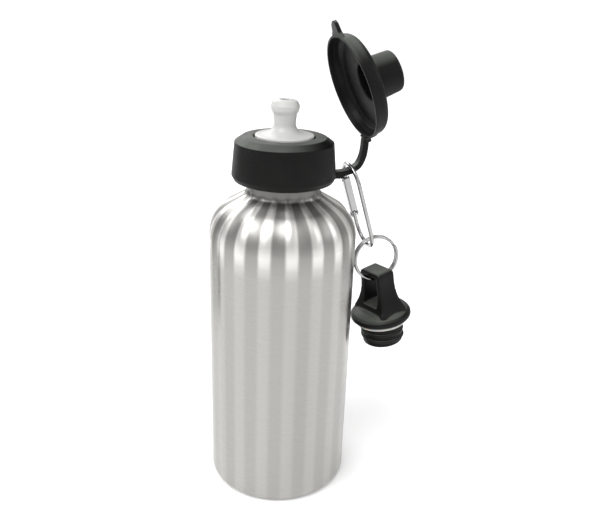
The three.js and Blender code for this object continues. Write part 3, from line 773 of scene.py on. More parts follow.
def screw_ridge(wall_r, outward, start, turns, phase, place=None):
    """One thread ridge on a wall, as its own object."""
    thread = sizes("thread")
    half = 0.86 * thread.crest
    middle = wall_r + (thread.crest - half) * (1 if outward else -1)
    ridge = run_tree(
        empty_piece("ridge"),
        tree_named("coil", coil_tree),
        {"Turns": turns, "Rise": thread.pitch * MM, "Radius": middle * MM, "Wire": half * MM,
         "Start": start * MM, "Phase": phase, "Taper": 0.09, "Steps": 72, "Sides": 12},
    )
    if place is not None:
        ridge.data.transform(place)
    return ridge


# ------------------------------------------------------------------ shared effects in the materials
def shader_group(name, inputs, outputs):
    """A shader group with named float inputs and (label, kind) outputs."""
    tree = bpy.data.node_groups.new(name, "ShaderNodeTree")
    for label, default in inputs:
        socket = tree.interface.new_socket(label, in_out="INPUT", socket_type="NodeSocketFloat")
        socket.default_value = default
    for label, kind in outputs:
        tree.interface.new_socket(label, in_out="OUTPUT", socket_type="NodeSocket" + kind)
    wiring = Wiring(tree)
    return tree, wiring, wiring.add("NodeGroupInput").outputs, wiring.add("NodeGroupOutput").inputs


def object_point(w):
    return w.add("ShaderNodeTexCoord").outputs["Object"]


def fine_grain_group():
    """Moulded texture: fine pits as a height, and slow cloudy variation as a mask."""
    tree, w, given, out = shader_group(
        "moulded_grain", [("Scale", 2600.0), ("Cloud Scale", 60.0)], [
            ("Height", "Float"), ("Cloud", "Float")
        ]
    )
    point = object_point(w)
    pits = w.add(
        "ShaderNodeTexVoronoi", {"Vector": point, "Scale": given["Scale"]}, feature="SMOOTH_F1"
    )
    fine = w.add("ShaderNodeTexNoise", {"Vector": point, "Scale": given["Scale"], "Detail": 3.0})
    cloud = w.add(
        "ShaderNodeTexNoise", {"Vector": point, "Scale": given["Cloud Scale"], "Detail": 4.0}
    )
    height = w.maths("ADD", w.maths("MULTIPLY", pits.outputs["Distance"], 0.6), fine.outputs["Fac"])
    w.put(height, out["Height"])
    w.put(w.ramp(cloud.outputs["Fac"], 0.35, 0.65), out["Cloud"])
    return tree


def edge_wear_group():
    """Rubbed edges, broken up by noise."""
    tree, w, given, out = shader_group(
        "rubbed_edges", [("Amount", 0.6), ("Break Up", 700.0)], [("Mask", "Float")]
    )
    edge = w.add("ShaderNodeAttribute", attribute_name="edge").outputs["Fac"]
    noise = w.add(
        "ShaderNodeTexNoise", {"Vector": object_point(w), "Scale": given["Break Up"], "Detail": 5.0}
    )
    broken = w.ramp(
        w.maths("ADD", edge, w.maths("MULTIPLY_ADD", noise.outputs["Fac"], 0.8, -0.4)), 0.25, 0.95
    )
    w.put(w.maths("MULTIPLY", broken, given["Amount"]), out["Mask"])
    return tree


def scuff_group():
    """Handling marks: fine scratches in two directions, and dust in soft patches."""
    tree, w, given, out = shader_group(
        "handling_marks", [("Density", 1.0), ("Dust", 1.0)], [
            ("Scratches", "Float"), ("Dust", "Float")
        ]
    )
    point = object_point(w)
    marks = []
    for tilt, stretch in ((0.6, (900.0, 40.0, 900.0)), (-0.9, (60.0, 800.0, 500.0))):
        mapping = w.add(
            "ShaderNodeMapping", {"Vector": point, "Rotation": (tilt, 0.4, tilt), "Scale": stretch}
        )
        lines = w.add(
            "ShaderNodeTexNoise", {"Vector": mapping.outputs[0], "Scale": 1.0, "Detail": 2.0}
        )
        marks.append(w.ramp(lines.outputs["Fac"], 0.66, 0.78))
    patches = w.add("ShaderNodeTexNoise", {"Vector": point, "Scale": 45.0, "Detail": 6.0})
    both = w.maths(
        "MULTIPLY", w.maths("MAXIMUM", *marks), w.ramp(patches.outputs["Fac"], 0.42, 0.6)
    )
    specks = w.add("ShaderNodeTexNoise", {"Vector": point, "Scale": 1500.0, "Detail": 2.0})
    dust = w.maths(
        "MULTIPLY", w.ramp(specks.outputs["Fac"], 0.6, 0.75),
        w.ramp(patches.outputs["Fac"], 0.4, 0.7)
    )
    w.put(w.maths("MULTIPLY", both, given["Density"]), out["Scratches"])
    w.put(w.maths("MULTIPLY", dust, given["Dust"]), out["Dust"])
    return tree


def brushing_group():
    """Fine lines left by a brush that ran round the axis: a height, and a slow change of tone."""
    tree, w, given, out = shader_group(
        "brush_lines", [("Across", 9000.0), ("Along", 90.0)], [
            ("Height", "Float"), ("Tone", "Float")
        ]
    )
    stretch = w.add(
        "ShaderNodeCombineXYZ", {0: given["Along"], 1: given["Along"], 2: given["Across"]}
    )
    point = w.add(
        "ShaderNodeVectorMath", {0: object_point(w), 1: stretch.outputs[0]}, operation="MULTIPLY"
    )
    lines = w.add(
        "ShaderNodeTexNoise",
        {"Vector": point.outputs[0], "Scale": 1.0, "Detail": 4.0, "Roughness": 0.7}
    )
    slow = w.add("ShaderNodeTexNoise", {"Vector": object_point(w), "Scale": 28.0, "Detail": 3.0})
    w.put(lines.outputs["Fac"], out["Height"])
    w.put(slow.outputs["Fac"], out["Tone"])
    return tree


EFFECTS = {}


def effect(w, make, **values):
    """Places a shared effect in a material with its own values."""
    if make not in EFFECTS:
        EFFECTS[make] = make()
    node = w.add("ShaderNodeGroup", node_tree=EFFECTS[make])
    for key, value in values.items():
        w.put(value, node.inputs[key.replace("_", " ").title()])
    return node.outputs


def new_material(name, **plain):
    """A material, its wiring and its Principled shader, with plain values set on its sockets."""
    material = bpy.data.materials.new(name)
    material.use_nodes = True
    shader = material.node_tree.nodes["Principled BSDF"]
    for key, value in plain.items():
        shader.inputs[key.replace("_", " ").title().replace("Ior", "IOR")].default_value = value
    return material, Wiring(material.node_tree), shader


def shade(tint, factor, alpha=1.0):
    return (*(min(c * factor, 1.0) for c in tint[:3]), alpha)


def bump(w, shader, height, distance, strength=1.0):
    node = w.add("ShaderNodeBump", {"Height": height, "Distance": distance, "Strength": strength})
    w.put(node.outputs[0], shader.inputs["Normal"])


def brushed_steel():
    """Brushed metal, its tone changed along the flutes, as painted highlight and shade, by the
    marks that the flute tree stores.
    """
    tint = bpy.context.scene.bottle_finish.steel
    material, w, shader = new_material("brushed_steel", metallic=1.0, roughness=0.3)
    brush = effect(w, brushing_group)
    marks = effect(w, scuff_group, density=0.5, dust=0.3)
    wear = effect(w, edge_wear_group, amount=0.35)
    mark = {
        name: w.add("ShaderNodeAttribute", attribute_name=name).outputs["Fac"]
        for name in ("ridge", "shoulder", "upper", "neck", "crease_highlight")
    }
    slow = w.ramp(brush["Tone"], 0.35, 0.65)
    # Painted highlight and shade: on the side the flute crests are a little lighter and the valleys
    # a little darker.
    side = w.mix(w.ramp(mark["ridge"], 0.2, 0.9), shade(tint, 0.92), shade(tint, 1.06))
    # On the shoulder the crests carry a painted highlight and the valleys painted shade, both
    # lighter towards the neck.
    crest = w.mix(slow, shade(tint, 1.65), shade(tint, 2.2))
    valley = w.mix(mark["upper"], shade(tint, 0.8), shade(tint, 1.1))
    crest_highlight_near_neck = w.mix(mark["upper"], crest, shade(tint, 2.45))
    painted_flute_light = w.mix(w.ramp(mark["ridge"], 0.35, 0.75), valley, crest_highlight_near_neck)
    fluted = w.mix(mark["shoulder"], side, painted_flute_light)
    # Painted highlight: short light bars on the crests along the shoulder's crease.
    bright = w.maths("MULTIPLY", mark["crease_highlight"], w.ramp(mark["ridge"], 0.6, 0.85))
    with_crease_highlight = w.mix(bright, fluted, shade(tint, 1.9))
    # Painted shade: the neck under the collar is darkened.
    tone = w.mix(mark["neck"], with_crease_highlight, shade(tint, 0.42))
    worn = w.mix(wear["Mask"], tone, shade(tint, 1.2))
    w.put(w.mix(marks["Dust"], worn, shade(tint, 0.85)), shader.inputs["Base Color"])
    brushed = w.ramp(brush["Height"], 0.3, 0.7, 0.24, 0.33)
    rough = w.maths("MULTIPLY_ADD", mark["shoulder"], 0.08, brushed)
    w.put(w.maths("MULTIPLY_ADD", marks["Scratches"], 0.08, rough), shader.inputs["Roughness"])
    bump(w, shader, brush["Height"], 0.0000035, 0.5)
    return material


def black_plastic(name, tint, grain_scale, grain_depth, smooth, rough):
    """Black plastic with rubbed edges, dust, and a painted sheen of light on faces that look up and
    left.
    """
    material, w, shader = new_material(name, roughness=rough, ior=1.5)
    shader.inputs["Specular IOR Level"].default_value = 0.13
    grain = effect(w, fine_grain_group, scale=grain_scale)
    wear = effect(w, edge_wear_group, amount=0.5)
    marks = effect(w, scuff_group, density=0.8, dust=0.55)
    base = w.mix(grain["Cloud"], shade(tint, 0.85), shade(tint, 1.25))
    rubbed = w.mix(wear["Mask"], base, shade(tint, 3.4))
    # Painted light: faces that look up and left are lightened with a painted sheen, except faces
    # marked sheltered inside the cover.
    faces_up = w.add("ShaderNodeVectorMath", {1: SHEEN_LIGHT_FROM}, operation="DOT_PRODUCT")
    w.put(w.add("ShaderNodeTexCoord").outputs["Normal"], faces_up.inputs[0])
    cloudy = w.ramp(grain["Cloud"], 0.0, 1.0, 0.75, 1.0)
    painted_sheen = w.maths("MULTIPLY", w.ramp(faces_up.outputs["Value"], 0.6, 0.97), cloudy)
    sheltered = w.add("ShaderNodeAttribute", attribute_name="sheltered").outputs["Fac"]
    painted_sheen = w.maths("MULTIPLY", painted_sheen, w.maths("SUBTRACT", 1.0, sheltered))
    sheened_base = w.mix(painted_sheen, rubbed, SHEEN_COLOUR)
    w.put(w.mix(marks["Dust"], sheened_base, shade(tint, 4.5)), shader.inputs["Base Color"])
    gloss = w.ramp(grain["Cloud"], 0.0, 1.0, rough, smooth)
    w.put(w.maths("MULTIPLY_ADD", marks["Scratches"], 0.12, gloss), shader.inputs["Roughness"])
    bump(w, shader, grain["Height"], grain_depth)
    return material


def satin_black():
    return black_plastic(
        "satin_black", bpy.context.scene.bottle_finish.black, 2400.0, 0.000011, 0.36, 0.46
    )


def flexible_black():
    return black_plastic(
        "flexible_black", bpy.context.scene.bottle_finish.strap, 1700.0, 0.000016, 0.42, 0.52
    )


def soft_plastic(name, tint, grain_scale, scuffs, tones, gloss, **plain):
    """A faintly see-through plastic: tones are shares of its tint where dark, pale and dusty."""
    material, w, shader = new_material(name, **plain)
    grain = effect(w, fine_grain_group, scale=grain_scale)
    marks = effect(w, scuff_group, density=scuffs[0], dust=scuffs[1])
    dark, pale, dusty = (shade(tint, tone) for tone in tones)
    base = w.mix(grain["Cloud"], dark, pale)
    w.put(w.mix(marks["Dust"], base, dusty), shader.inputs["Base Color"])
    w.put(w.ramp(grain["Cloud"], 0.0, 1.0, *gloss), shader.inputs["Roughness"])
    bump(w, shader, grain["Height"], 0.000006)
    return material


def soft_white():
    material = soft_plastic(
        "soft_white", bpy.context.scene.bottle_finish.white, 1400.0, (0.5, 0.4), (0.97, 1.02, 0.82),
        (0.3, 0.38),
        roughness=0.34, ior=1.48, subsurface_weight=0.25, subsurface_scale=0.002,
    )
    shader = material.node_tree.nodes["Principled BSDF"]
    shader.inputs["Subsurface Radius"].default_value = (1.0, 0.95, 0.85)
    return material


def milky_seal():
    return soft_plastic(
        "milky_seal", bpy.context.scene.bottle_finish.seal, 1900.0, (0.2, 0.8), (0.93, 1.06, 0.7),
        (0.34, 0.46),
        roughness=0.4, ior=1.43, subsurface_weight=0.4, subsurface_scale=0.0015,
    )


def plated_wire():
    tint = bpy.context.scene.bottle_finish.plate
    material, w, shader = new_material("plated_wire", metallic=1.0, roughness=0.16)
    grain = effect(w, fine_grain_group, scale=3000.0, cloud_scale=220.0)
    marks = effect(w, scuff_group, density=1.0, dust=0.5)
    wear = effect(w, edge_wear_group, amount=0.25)
    base = w.mix(grain["Cloud"], shade(tint, 0.9), shade(tint, 1.08))
    rubbed = w.mix(wear["Mask"], base, shade(tint, 1.2))
    w.put(w.mix(marks["Dust"], rubbed, shade(tint, 0.6)), shader.inputs["Base Color"])
    gloss = w.ramp(grain["Cloud"], 0.0, 1.0, 0.1, 0.22)
    w.put(w.maths("MULTIPLY_ADD", marks["Scratches"], 0.15, gloss), shader.inputs["Roughness"])
    bump(w, shader, grain["Height"], 0.000002)
    return material


def pale_floor():
    tint = bpy.context.scene.bottle_finish.floor
    material, w, shader = new_material("pale_floor", roughness=0.8, emission_strength=0.17)
    shader.inputs["Emission Color"].default_value = (1.0, 1.0, 1.0, 1.0)
    grain = effect(w, fine_grain_group, scale=900.0, cloud_scale=3.0)
    w.put(w.mix(grain["Cloud"], shade(tint, 0.995), shade(tint, 1.0)), shader.inputs["Base Color"])
    return material


MATERIALS = {}
MAKERS = {
    "steel": brushed_steel,
    "black": satin_black,
    "strap": flexible_black,
    "white": soft_white,
    "seal": milky_seal,
    "plate": plated_wire,
    "floor": pale_floor,
}


def finish(name):
    """A material, built once."""
    if name not in MATERIALS:
        MATERIALS[name] = MAKERS[name]()
    return MATERIALS[name]


# ------------------------------------------------------------------ bottle and mouth
def shoulder_marks(s):
    """The shoulder arc's end as (radius, height), and the height where the straight neck starts."""
    end_r = s.body_r - s.shoulder_r + s.shoulder_r * cos(s.shoulder_sweep)
    end_z = s.body_top + s.shoulder_r * sin(s.shoulder_sweep)
    cone_top = end_z + (end_r - s.neck_r) / tan(s.shoulder_sweep)
    return end_r, end_z, cone_top + s.neck_fillet * tan(s.shoulder_sweep / 2)


def straight(start, end, rows):
    """Points between two outline points, both left out."""
    return [Vector(start).lerp(Vector(end), k / rows) for k in range(1, rows)]


def bottle_outline(s):
    """The shell's closed outline, outside first, with its rolled lip and the pressed foot."""
    lip = high("bottle_shell").z
    foot, groove = FOOT_R, FOOT_RISE
    sweep = degrees(s.shoulder_sweep)
    shoulder_r = s.body_r - s.shoulder_r
    neck_start = shoulder_marks(s)[2]
    lip_r = s.mouth_r + TUBE_WALL + GAP + s.sheet
    bend = lip - LIP_H - (s.neck_r - lip_r)
    base = [
        (0, 0), (foot, 0, 1), (foot + 1.5, groove, 1), (foot + 10, groove, 1), (foot + 11.5, 0, 1)
    ]
    outside = rounded([*base, (s.body_r - s.base_r, 0, 0)])[:-1]
    outside += arc(s.body_r - s.base_r, s.base_r, s.base_r, -90, 0, 12)
    outside += straight(outside[-1], (s.body_r, s.body_top), 24)
    outside += arc(shoulder_r, s.body_top, s.shoulder_r, 0, sweep, 36)
    fillet_r = s.neck_r + s.neck_fillet
    fillet = arc(fillet_r, neck_start, s.neck_fillet, 180 + sweep, 180, 10)
    outside += straight(outside[-1], fillet[0], 10) + fillet
    neck = [
        (s.neck_r, bend, 1), (lip_r, lip - LIP_H, 0.8), (lip_r, lip, 0.3),
        (lip_r - s.sheet, lip, 0.3),
        (lip_r - s.sheet, lip - LIP_H - s.sheet * 0.4, 0.5),
        (s.neck_r - s.sheet, bend - s.sheet * 0.4, 0.8),
    ]
    inner_fillet = arc(fillet_r, neck_start, s.neck_fillet + s.sheet, 180, 180 + sweep, 8)
    turned_in = rounded([outside[-1], *neck, inner_fillet[0]])[1:-1]
    inner_r = s.body_r - s.sheet
    inside = inner_fillet + arc(shoulder_r, s.body_top, s.shoulder_r - s.sheet, sweep, 0, 30)
    inside += straight(inside[-1], (inner_r, s.base_r + s.sheet), 12)
    inside += arc(inner_r - s.base_r, s.base_r + s.sheet, s.base_r, 0, -90, 8)
    floor = [
        (foot + 11.5, s.sheet, 1), (foot + 10, groove + s.sheet, 1),
        (foot + 1.5, groove + s.sheet, 1),
        (foot, s.sheet, 1), (0, s.sheet, 0),
    ]
    inside += rounded([inside[-1], *floor])[1:]
    return [*outside, *turned_in, *inside]


class CANTEEN_OT_bottle(bpy.types.Operator):
    """Makes the fluted metal shell with its rounded shoulder, neck and pressed foot"""

    bl_idname = "canteen.bottle"
    bl_label = "Bottle Shell"

    def execute(self, context):
        s = sizes("bottle")
        shell = piece_from("bottle_shell_drawn", lathe(bottle_outline(s), segments=360), sharp=50)
        neck = shoulder_marks(s)[2]
        run_tree(
            shell,
            tree_named("flutes", flute_tree),
            {"Flutes": s.flutes, "Side Depth": s.side_flute * MM,
             "Shoulder Depth": s.shoulder_flute * MM,
             "Base": 1 * MM, "Shoulder": s.body_top * MM, "Neck": neck * MM, "Fade": 8 * MM},
        )
        tidy_normals(shell, sharp=50)
        finish_piece(shell, "steel", "brushed_metal", "bottle", "bottle_shell")
        return {"FINISHED"}


class CANTEEN_OT_mouth(bpy.types.Operator):
    """Makes the threaded ring in the neck and the gasket that seals on its rim"""

    bl_idname = "canteen.mouth"
    bl_label = "Mouth And Gasket"

    def execute(self, context):
        s = sizes("bottle")
        thread = sizes("thread")
        bottom, top = low("mouth_ring").z, high("mouth_ring").z
        tube_r = s.mouth_r + TUBE_WALL
        rim = high("bottle_shell").z + GAP
        outline = rounded(
            [
                (s.mouth_r, bottom, 0.4), (tube_r, bottom, 0.4), (tube_r, rim, 0.1),
                (s.rim_r, rim, 0.5),
                (s.rim_r, top, 1), (s.mouth_r, top, 1),
            ]
        )
        ring = piece_from("mouth_ring_turned", lathe(outline, 144))
        turns = (top - bottom - 4) / thread.pitch
        ridge = screw_ridge(s.mouth_r, False, bottom + MOUTH_LEAD, turns, 0.0)
        ring = joined("mouth_ring_turned", ring, ridge)
        tidy_normals(ring)
        finish_piece(ring, "steel", "brushed_metal", "bottle", "mouth_ring")

        start, end = low("neck_gasket").z, high("neck_gasket").z
        outer = high("neck_gasket").x
        inner = s.mouth_r + 0.4
        seal = rounded(
            [(inner, start, 0.4), (outer, start, 0.4), (outer, end, 0.4), (inner, end, 0.4)]
        )
        gasket = piece_from("neck_gasket_moulded", lathe(seal, 128))
        finish_piece(gasket, "seal", "clear_seal", "neck_gasket", "neck_gasket")
        return {"FINISHED"}


# ------------------------------------------------------------------ sport cap
def plug_outline(top, seat, s):
    """A cap's threaded tube, hanging from top, below a seat on the mouth's rim, and its radius."""
    thread = sizes("thread")
    outer = s.mouth_r - thread.crest - thread.play
    bore = outer - thread.wall
    bottom = seat - thread.plug
    corners = [(bore, bottom, 0.5), (outer, bottom, 0.9), (outer, top, 0), (bore, top, 0)]
    return rounded(corners), outer


def plug_ridge(seat, place=None):
    """The ridge on a plug, set half a pitch out of step with the mouth's own."""
    thread = sizes("thread")
    outer = sizes("bottle").mouth_r - thread.crest - thread.play
    start = seat - thread.plug + PLUG_LEAD
    mouth_start = seat - MOUTH_DEPTH + MOUTH_LEAD
    climb = start - mouth_start - thread.pitch / 2
    turns = (seat - start - 2) / thread.pitch
    return screw_ridge(outer, True, start, turns, climb / thread.pitch * 2 * pi, place)


class CANTEEN_OT_collar(bpy.types.Operator):
    """Makes the black screw collar, its sloping top, its well, its water holes and its plug"""

    bl_idname = "canteen.collar"
    bl_label = "Cap Collar"

    def execute(self, context):
        s = sizes("cap")
        tether = sizes("tether")
        rim = high("mouth_ring").z
        top = high("cap_collar").z
        edge = top - s.cone
        bottom = edge - s.side
        plate_bottom = high("neck_gasket").z + GAP
        plate_top = low("drinking_nozzle").z - GAP
        skirt_r = s.collar_r - s.wall
        outline = rounded(
            [
                (0, plate_bottom, 0), (skirt_r, plate_bottom, 1.2), (skirt_r, bottom, 0.4),
                (s.collar_r - 1.2, bottom, 0.6), (s.collar_r, bottom + 2.3, 1.1),
                (s.top_r, edge, 0.7),
                (s.cone_r, top - 0.15, 1.2), (s.well_r, top, 0.35), (s.well_r, plate_top, 0.6),
                (0, plate_top, 0),
            ],
            steps=6,
        )
        collar = piece_from("cap_collar_moulded", lathe(outline, 256))
        plug, _ = plug_outline(plate_bottom + 0.5, rim, sizes("bottle"))
        cut(collar, piece_from("plug", lathe(plug, 144)), operation="UNION")
        holes = []
        through = (plate_bottom - 1, plate_top + 1)
        for k in range(WATER_HOLES):
            a = (k + 0.5) * pi / 2
            spot = Vector((cos(a), sin(a), 0)) * (s.post_r + WATER_HOLE_OUT)
            holes.append(self.drill(WATER_HOLE_R, *through, spot))
        holes.append(self.drill(s.post_r + GAP, *through, Vector((0, 0, 0))))
        half = tether.width / 2 + GAP
        notch_top = low("tether_ring").z + RING_H + GAP
        notch = block((skirt_r - 2, s.collar_r + 2), (-half, half), (bottom - 1, notch_top))
        bmesh.ops.bevel(
            notch, geom=[e for e in notch.edges if all(v.co.z > bottom for v in e.verts)],
            offset=0.5, segments=4, affect="EDGES",
        )
        holes.append(piece_from("notch", notch))
        cut(collar, *holes)
        collar = joined("cap_collar_moulded", collar, plug_ridge(rim))
        tidy_normals(collar)
        finish_piece(collar, "black", "black_plastic", "sport_cap", "cap_collar")
        return {"FINISHED"}

    def drill(self, radius, start, end, spot):
        bm = lathe([(0, start), (radius, start), (radius, end), (0, end)], 48)
        bmesh.ops.translate(bm, verts=bm.verts, vec=spot)
        return piece_from("drill", bm)


class CANTEEN_OT_nozzle(bpy.types.Operator):
    """Makes the push-pull nozzle, the fixed valve post inside it and its sealing ring"""

    bl_idname = "canteen.nozzle"
    bl_label = "Nozzle And Valve"

    def execute(self, context):
        s = sizes("cap")
        bottom, tip = low("drinking_nozzle").z, high("drinking_nozzle").z
        rim = high("cap_collar").z + 0.6
        seal_low = low("nozzle_seal_ring").z - 0.32
        seal_high = high("nozzle_seal_ring").z + 0.32
        groove = s.nozzle_r - 1
        bore = s.nozzle_r - 2.9
        flare_start = s.nozzle_r - 0.9
        flare = []
        for k in range(25):
            a = k / 24 * pi / 2
            r = flare_start - (flare_start - s.stem_r) * sin(a)
            flare.append((r, rim + 0.35 + 4.85 * (1 - cos(a))))
        base = rounded(
            [
                flare[0], (bore, bottom, 0.2), (s.nozzle_r, bottom, 0.3),
                (s.nozzle_r, seal_low, 0.1),
                (groove, seal_low, 0.1), (groove, seal_high, 0.1), (s.nozzle_r, seal_high, 0.1),
                (s.nozzle_r, rim, 0.45), flare[0],
            ]
        )[1:-1]
        head = tip - 4.4
        top = rounded(
            [
                flare[-1], (s.stem_r, rim + 6.4, 1), (s.stem_r + 0.35, head - 2.4, 1.8),
                (s.head_r - 0.2, head - 0.6, 1.6),
                (s.head_r, head + 1.5, 1.2), (s.head_r - 1, tip - 0.7, 1.3),
                (s.hole_r + 0.4, tip, 0.9),
                (s.hole_r, tip - 0.5, 0.4), (s.hole_r, tip - 2.4, 0.3), (3.9, tip - 3.6, 0.6),
                (3.9, rim + 2.2, 1),
                (bore, rim - 1.9, 1), (bore, bottom, 0),
            ],
            steps=7,
        )[1:-1]
        nozzle = piece_from("drinking_nozzle_moulded", lathe([*base, *flare, *top], 160))
        finish_piece(nozzle, "white", "white_plastic", "nozzle", "drinking_nozzle")

        foot, end = low("valve_post").z, high("valve_post").z
        seat = low("drinking_nozzle").z
        wide = s.post_r + 0.6
        neck_r = s.hole_r - GAP
        outline = rounded(
            [
                (0, foot, 0), (s.post_r, foot, 0.3), (s.post_r, seat, 0), (wide, seat, 0.2),
                (wide, seat + 1.2, 0.2),
                (s.post_r, seat + 1.6, 0.3), (s.post_r, end - 3.4, 0.4), (neck_r, end - 2.5, 0.3),
                (neck_r, end, 0.5), (0, end, 0),
            ]
        )
        post = piece_from("valve_post_moulded", lathe(outline, 64))
        finish_piece(post, "black", "black_plastic", "sport_cap", "valve_post")

        inner, outer = groove + GAP, high("nozzle_seal_ring").x
        z0, z1 = low("nozzle_seal_ring").z, high("nozzle_seal_ring").z
        ring = rounded([(inner, z0, 0.3), (outer, z0, 0.45), (outer, z1, 0.45), (inner, z1, 0.3)])
        seal = piece_from("nozzle_seal_moulded", lathe(ring, 128))
        finish_piece(seal, "seal", "clear_seal", "nozzle", "nozzle_seal_ring")
        return {"FINISHED"}


# ------------------------------------------------------------------ tether and dust cover
def cover_place():
    """Where the cover lies at rest: its closed place, turned back by both hinges' lower limits."""
    collar_edge = high("cap_collar").z - sizes("cap").cone
    closed = Matrix.Translation(UP * (collar_edge - 1.7) * MM)
    bend, flip = JOINTS["strap_bend"], JOINTS["cover_flip"]
    opened = turned_about(flip, -flip["range_deg"][0]) @ turned_about(bend, -bend["range_deg"][0])
    return opened @ closed


def strap_route():
    """The strap's middle line in the XZ plane, from inside the skirt to the cover's rim."""
    t = sizes("tether")
    root = low("tether_ring").z
    middle, top = root + RING_H / 2, root + RING_H
    cap = sizes("cap")
    ring_r = cap.collar_r - cap.wall - GAP
    rim = cover_place() @ Vector((t.cover_r * MM, 0, 0)) / MM
    marks = [
        (ring_r - 0.95, middle), (cap.collar_r + 1.4, middle), (cap.collar_r + 6, top - 0.9),
        (cap.collar_r + 9.4, top + 0.1), (cap.collar_r + 13.2, top + 2.7),
        (cap.collar_r + 15.2, top + 6.8),
        (cap.collar_r + 15.9, top + 10.8), (rim.x, rim.z - 0.7),
    ]
    return smooth_path([(x, 0, z) for x, z in marks], spacing=0.35)


def strap_sections(path, start, end, corner=0.9):
    """Rounded sections of the strap over a share of its route, thicker by its root."""
    t = sizes("tether")
    half_w = t.width / 2
    root_x = sizes("cap").collar_r + 1.5
    first, last = round(start * (len(path) - 1)), round(end * (len(path) - 1))
    sections = []
    for i in range(first, last + 1):
        point = path[i]
        along = (path[min(i + 1, len(path) - 1)] - path[max(i - 1, 0)]).normalized()
        normal = Vector((-along.z, 0, along.x))
        half_t = t.thickness / 2 * (1 + 0.12 * max(0, 1 - abs(point.x - root_x) / 5))
        square = [
            (-half_w, -half_t, corner), (half_w, -half_t, corner), (half_w, half_t, corner),
            (-half_w, half_t, corner)
        ]
        ring = rounded(square, steps=4)
        sections.append([point + Vector((0, y, 0)) + normal * k for y, k in ring])
    return sections


class CANTEEN_OT_tether(bpy.types.Operator):
    """Makes the ring under the collar and the strap in two halves, shaped to curve from its root up
    to the cover
    """

    bl_idname = "canteen.tether"
    bl_label = "Tether Strap"

    def execute(self, context):
        t = sizes("tether")
        cap = sizes("cap")
        bottom = low("tether_ring").z
        top = bottom + RING_H
        inner, outer = sizes("bottle").neck_r + 0.8, cap.collar_r - cap.wall - GAP
        band = rounded(
            [(inner, bottom, 0.5), (outer, bottom, 0.5), (outer, top, 0.5), (inner, top, 0.5)]
        )
        ring = piece_from("tether_ring_moulded", lathe(band, 160))
        finish_piece(ring, "strap", "black_strap", "sport_cap")

        path = strap_route()
        root = piece_from("strap_root", loft(strap_sections(path, 0, BEND_AT)), sharp=40)
        wall = cap.collar_r + 0.9
        ribs = []
        for side in (1, -1):
            start = Vector((wall, 0, bottom + RING_H / 2 + side * (t.thickness / 2 + 0.02)))
            ribs.append(
                run_tree(
                    empty_piece("strap_ribs"),
                    tree_named("ribs", rib_tree),
                    {"From": start * MM,
                     "To": (start + Vector((4.2, 0, side * 0.1))) * MM, "Ribs": t.ribs,
                     "Radius": 0.42 * MM, "Width": (t.width - 0.3) * MM},
                )
            )
        root = joined("strap_root", root, *ribs)
        tidy_normals(root, sharp=40)
        finish_piece(root, "strap", "black_strap", None, "tether_ring")
        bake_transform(root)

        outer_half = piece_from("strap_to_cover", loft(strap_sections(path, BEND_AT, 1)), sharp=40)
        finish_piece(outer_half, "strap", "black_strap", None, "cover_strap")
        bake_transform(outer_half)
        return {"FINISHED"}


def shelter_inside(cover):
    """Marks the faces that look into a closed cover, which get none of the painted sheen on the
    faces outside.
    """
    marks = cover.data.attributes.new("sheltered", "FLOAT", "FACE")
    for face in cover.data.polygons:
        outward = Vector((face.center.x, face.center.y, 0)).normalized()
        inside = face.normal.z < -0.3 or face.normal.dot(outward) < -0.2
        marks.data[face.index].value = float(inside)


class CANTEEN_OT_dust_cover(bpy.types.Operator):
    """Makes the thin moulded cover with its lip, drum, hollow knob and lifting tab"""

    bl_idname = "canteen.dust_cover"
    bl_label = "Dust Cover"

    def execute(self, context):
        t = sizes("tether")
        bore = t.cover_r - t.wall
        drum_r = t.cover_r - 0.6
        roof, knob = t.drum_h, t.knob_r
        outline = rounded(
            [
                (bore, 0, 0.25), (t.cover_r, 0, 0.3), (t.cover_r, t.lip_h, 0.4),
                (drum_r, t.lip_h, 0.25),
                (drum_r - 0.3, roof - 2.2, 2), (drum_r - 1.4, roof - 0.4, 2),
                (drum_r - 3.6, roof + 0.1, 1.5),
                (knob + 0.6, roof + 1.5, 1.2), (knob - 0.2, t.cover_h, 1.8), (0, t.cover_h, 0),
                (0, t.cover_h - t.wall, 0), (knob - t.wall - 0.3, t.cover_h - t.wall, 1),
                (knob - t.wall, roof + 0.6, 0.8), (drum_r - 3.6, roof - 0.9, 1.2),
                (drum_r - 1.6, roof - 2.4, 1.5),
                (bore - 0.4, t.lip_h + 0.6, 0.6),
            ],
            steps=7,
        )
        cover = piece_from("dust_cover_moulded", lathe(outline, 200))
        w, reach = t.tab_w / 2, t.cover_r + t.tab
        tip = rounded(
            [
                (-t.cover_r + 0.7, -w - 3.4, 0), (-t.cover_r - 1.4, -w - 0.8, 3),
                (-reach, -w + 1.2, 2.2),
                (-reach, w - 1.2, 2.2), (-t.cover_r - 1.4, w + 0.8, 3),
                (-t.cover_r + 0.7, w + 3.4, 0),
            ]
        )
        tab = prism([tuple(p) for p in tip], 0.1, t.lip_h)
        rims = [
            e for e in tab.edges
            if abs(e.verts[0].co.z - e.verts[1].co.z) < 0.01 and e.verts[0].co.x < -t.cover_r
        ]
        bmesh.ops.bevel(tab, geom=rims, offset=0.4, segments=3, affect="EDGES")
        near, far = t.cover_r - 0.7, t.cover_r + 2.1
        root = [
            (near, -4.4), (t.cover_r + 0.7, -3), (far, -2.7), (far, 2.7), (t.cover_r + 0.7, 3),
            (near, 4.4)
        ]
        cut(
            cover, piece_from("tab", tab), piece_from("root", prism(root, -0.8, t.lip_h - 0.2)),
            operation="UNION"
        )
        tidy_normals(cover)
        shelter_inside(cover)
        cover.data.transform(cover_place())
        finish_piece(cover, "black", "black_plastic", "dust_cover", "dust_cover")
        return {"FINISHED"}


# ------------------------------------------------------------------ clip and ring
def clip_frame():
    """The clip's own frame: X across its plane, Y leg to leg, Z up, origin at its top."""
    return leaning_frame(JOINTS["gate_open"], -sizes("hanger").hinge_at)


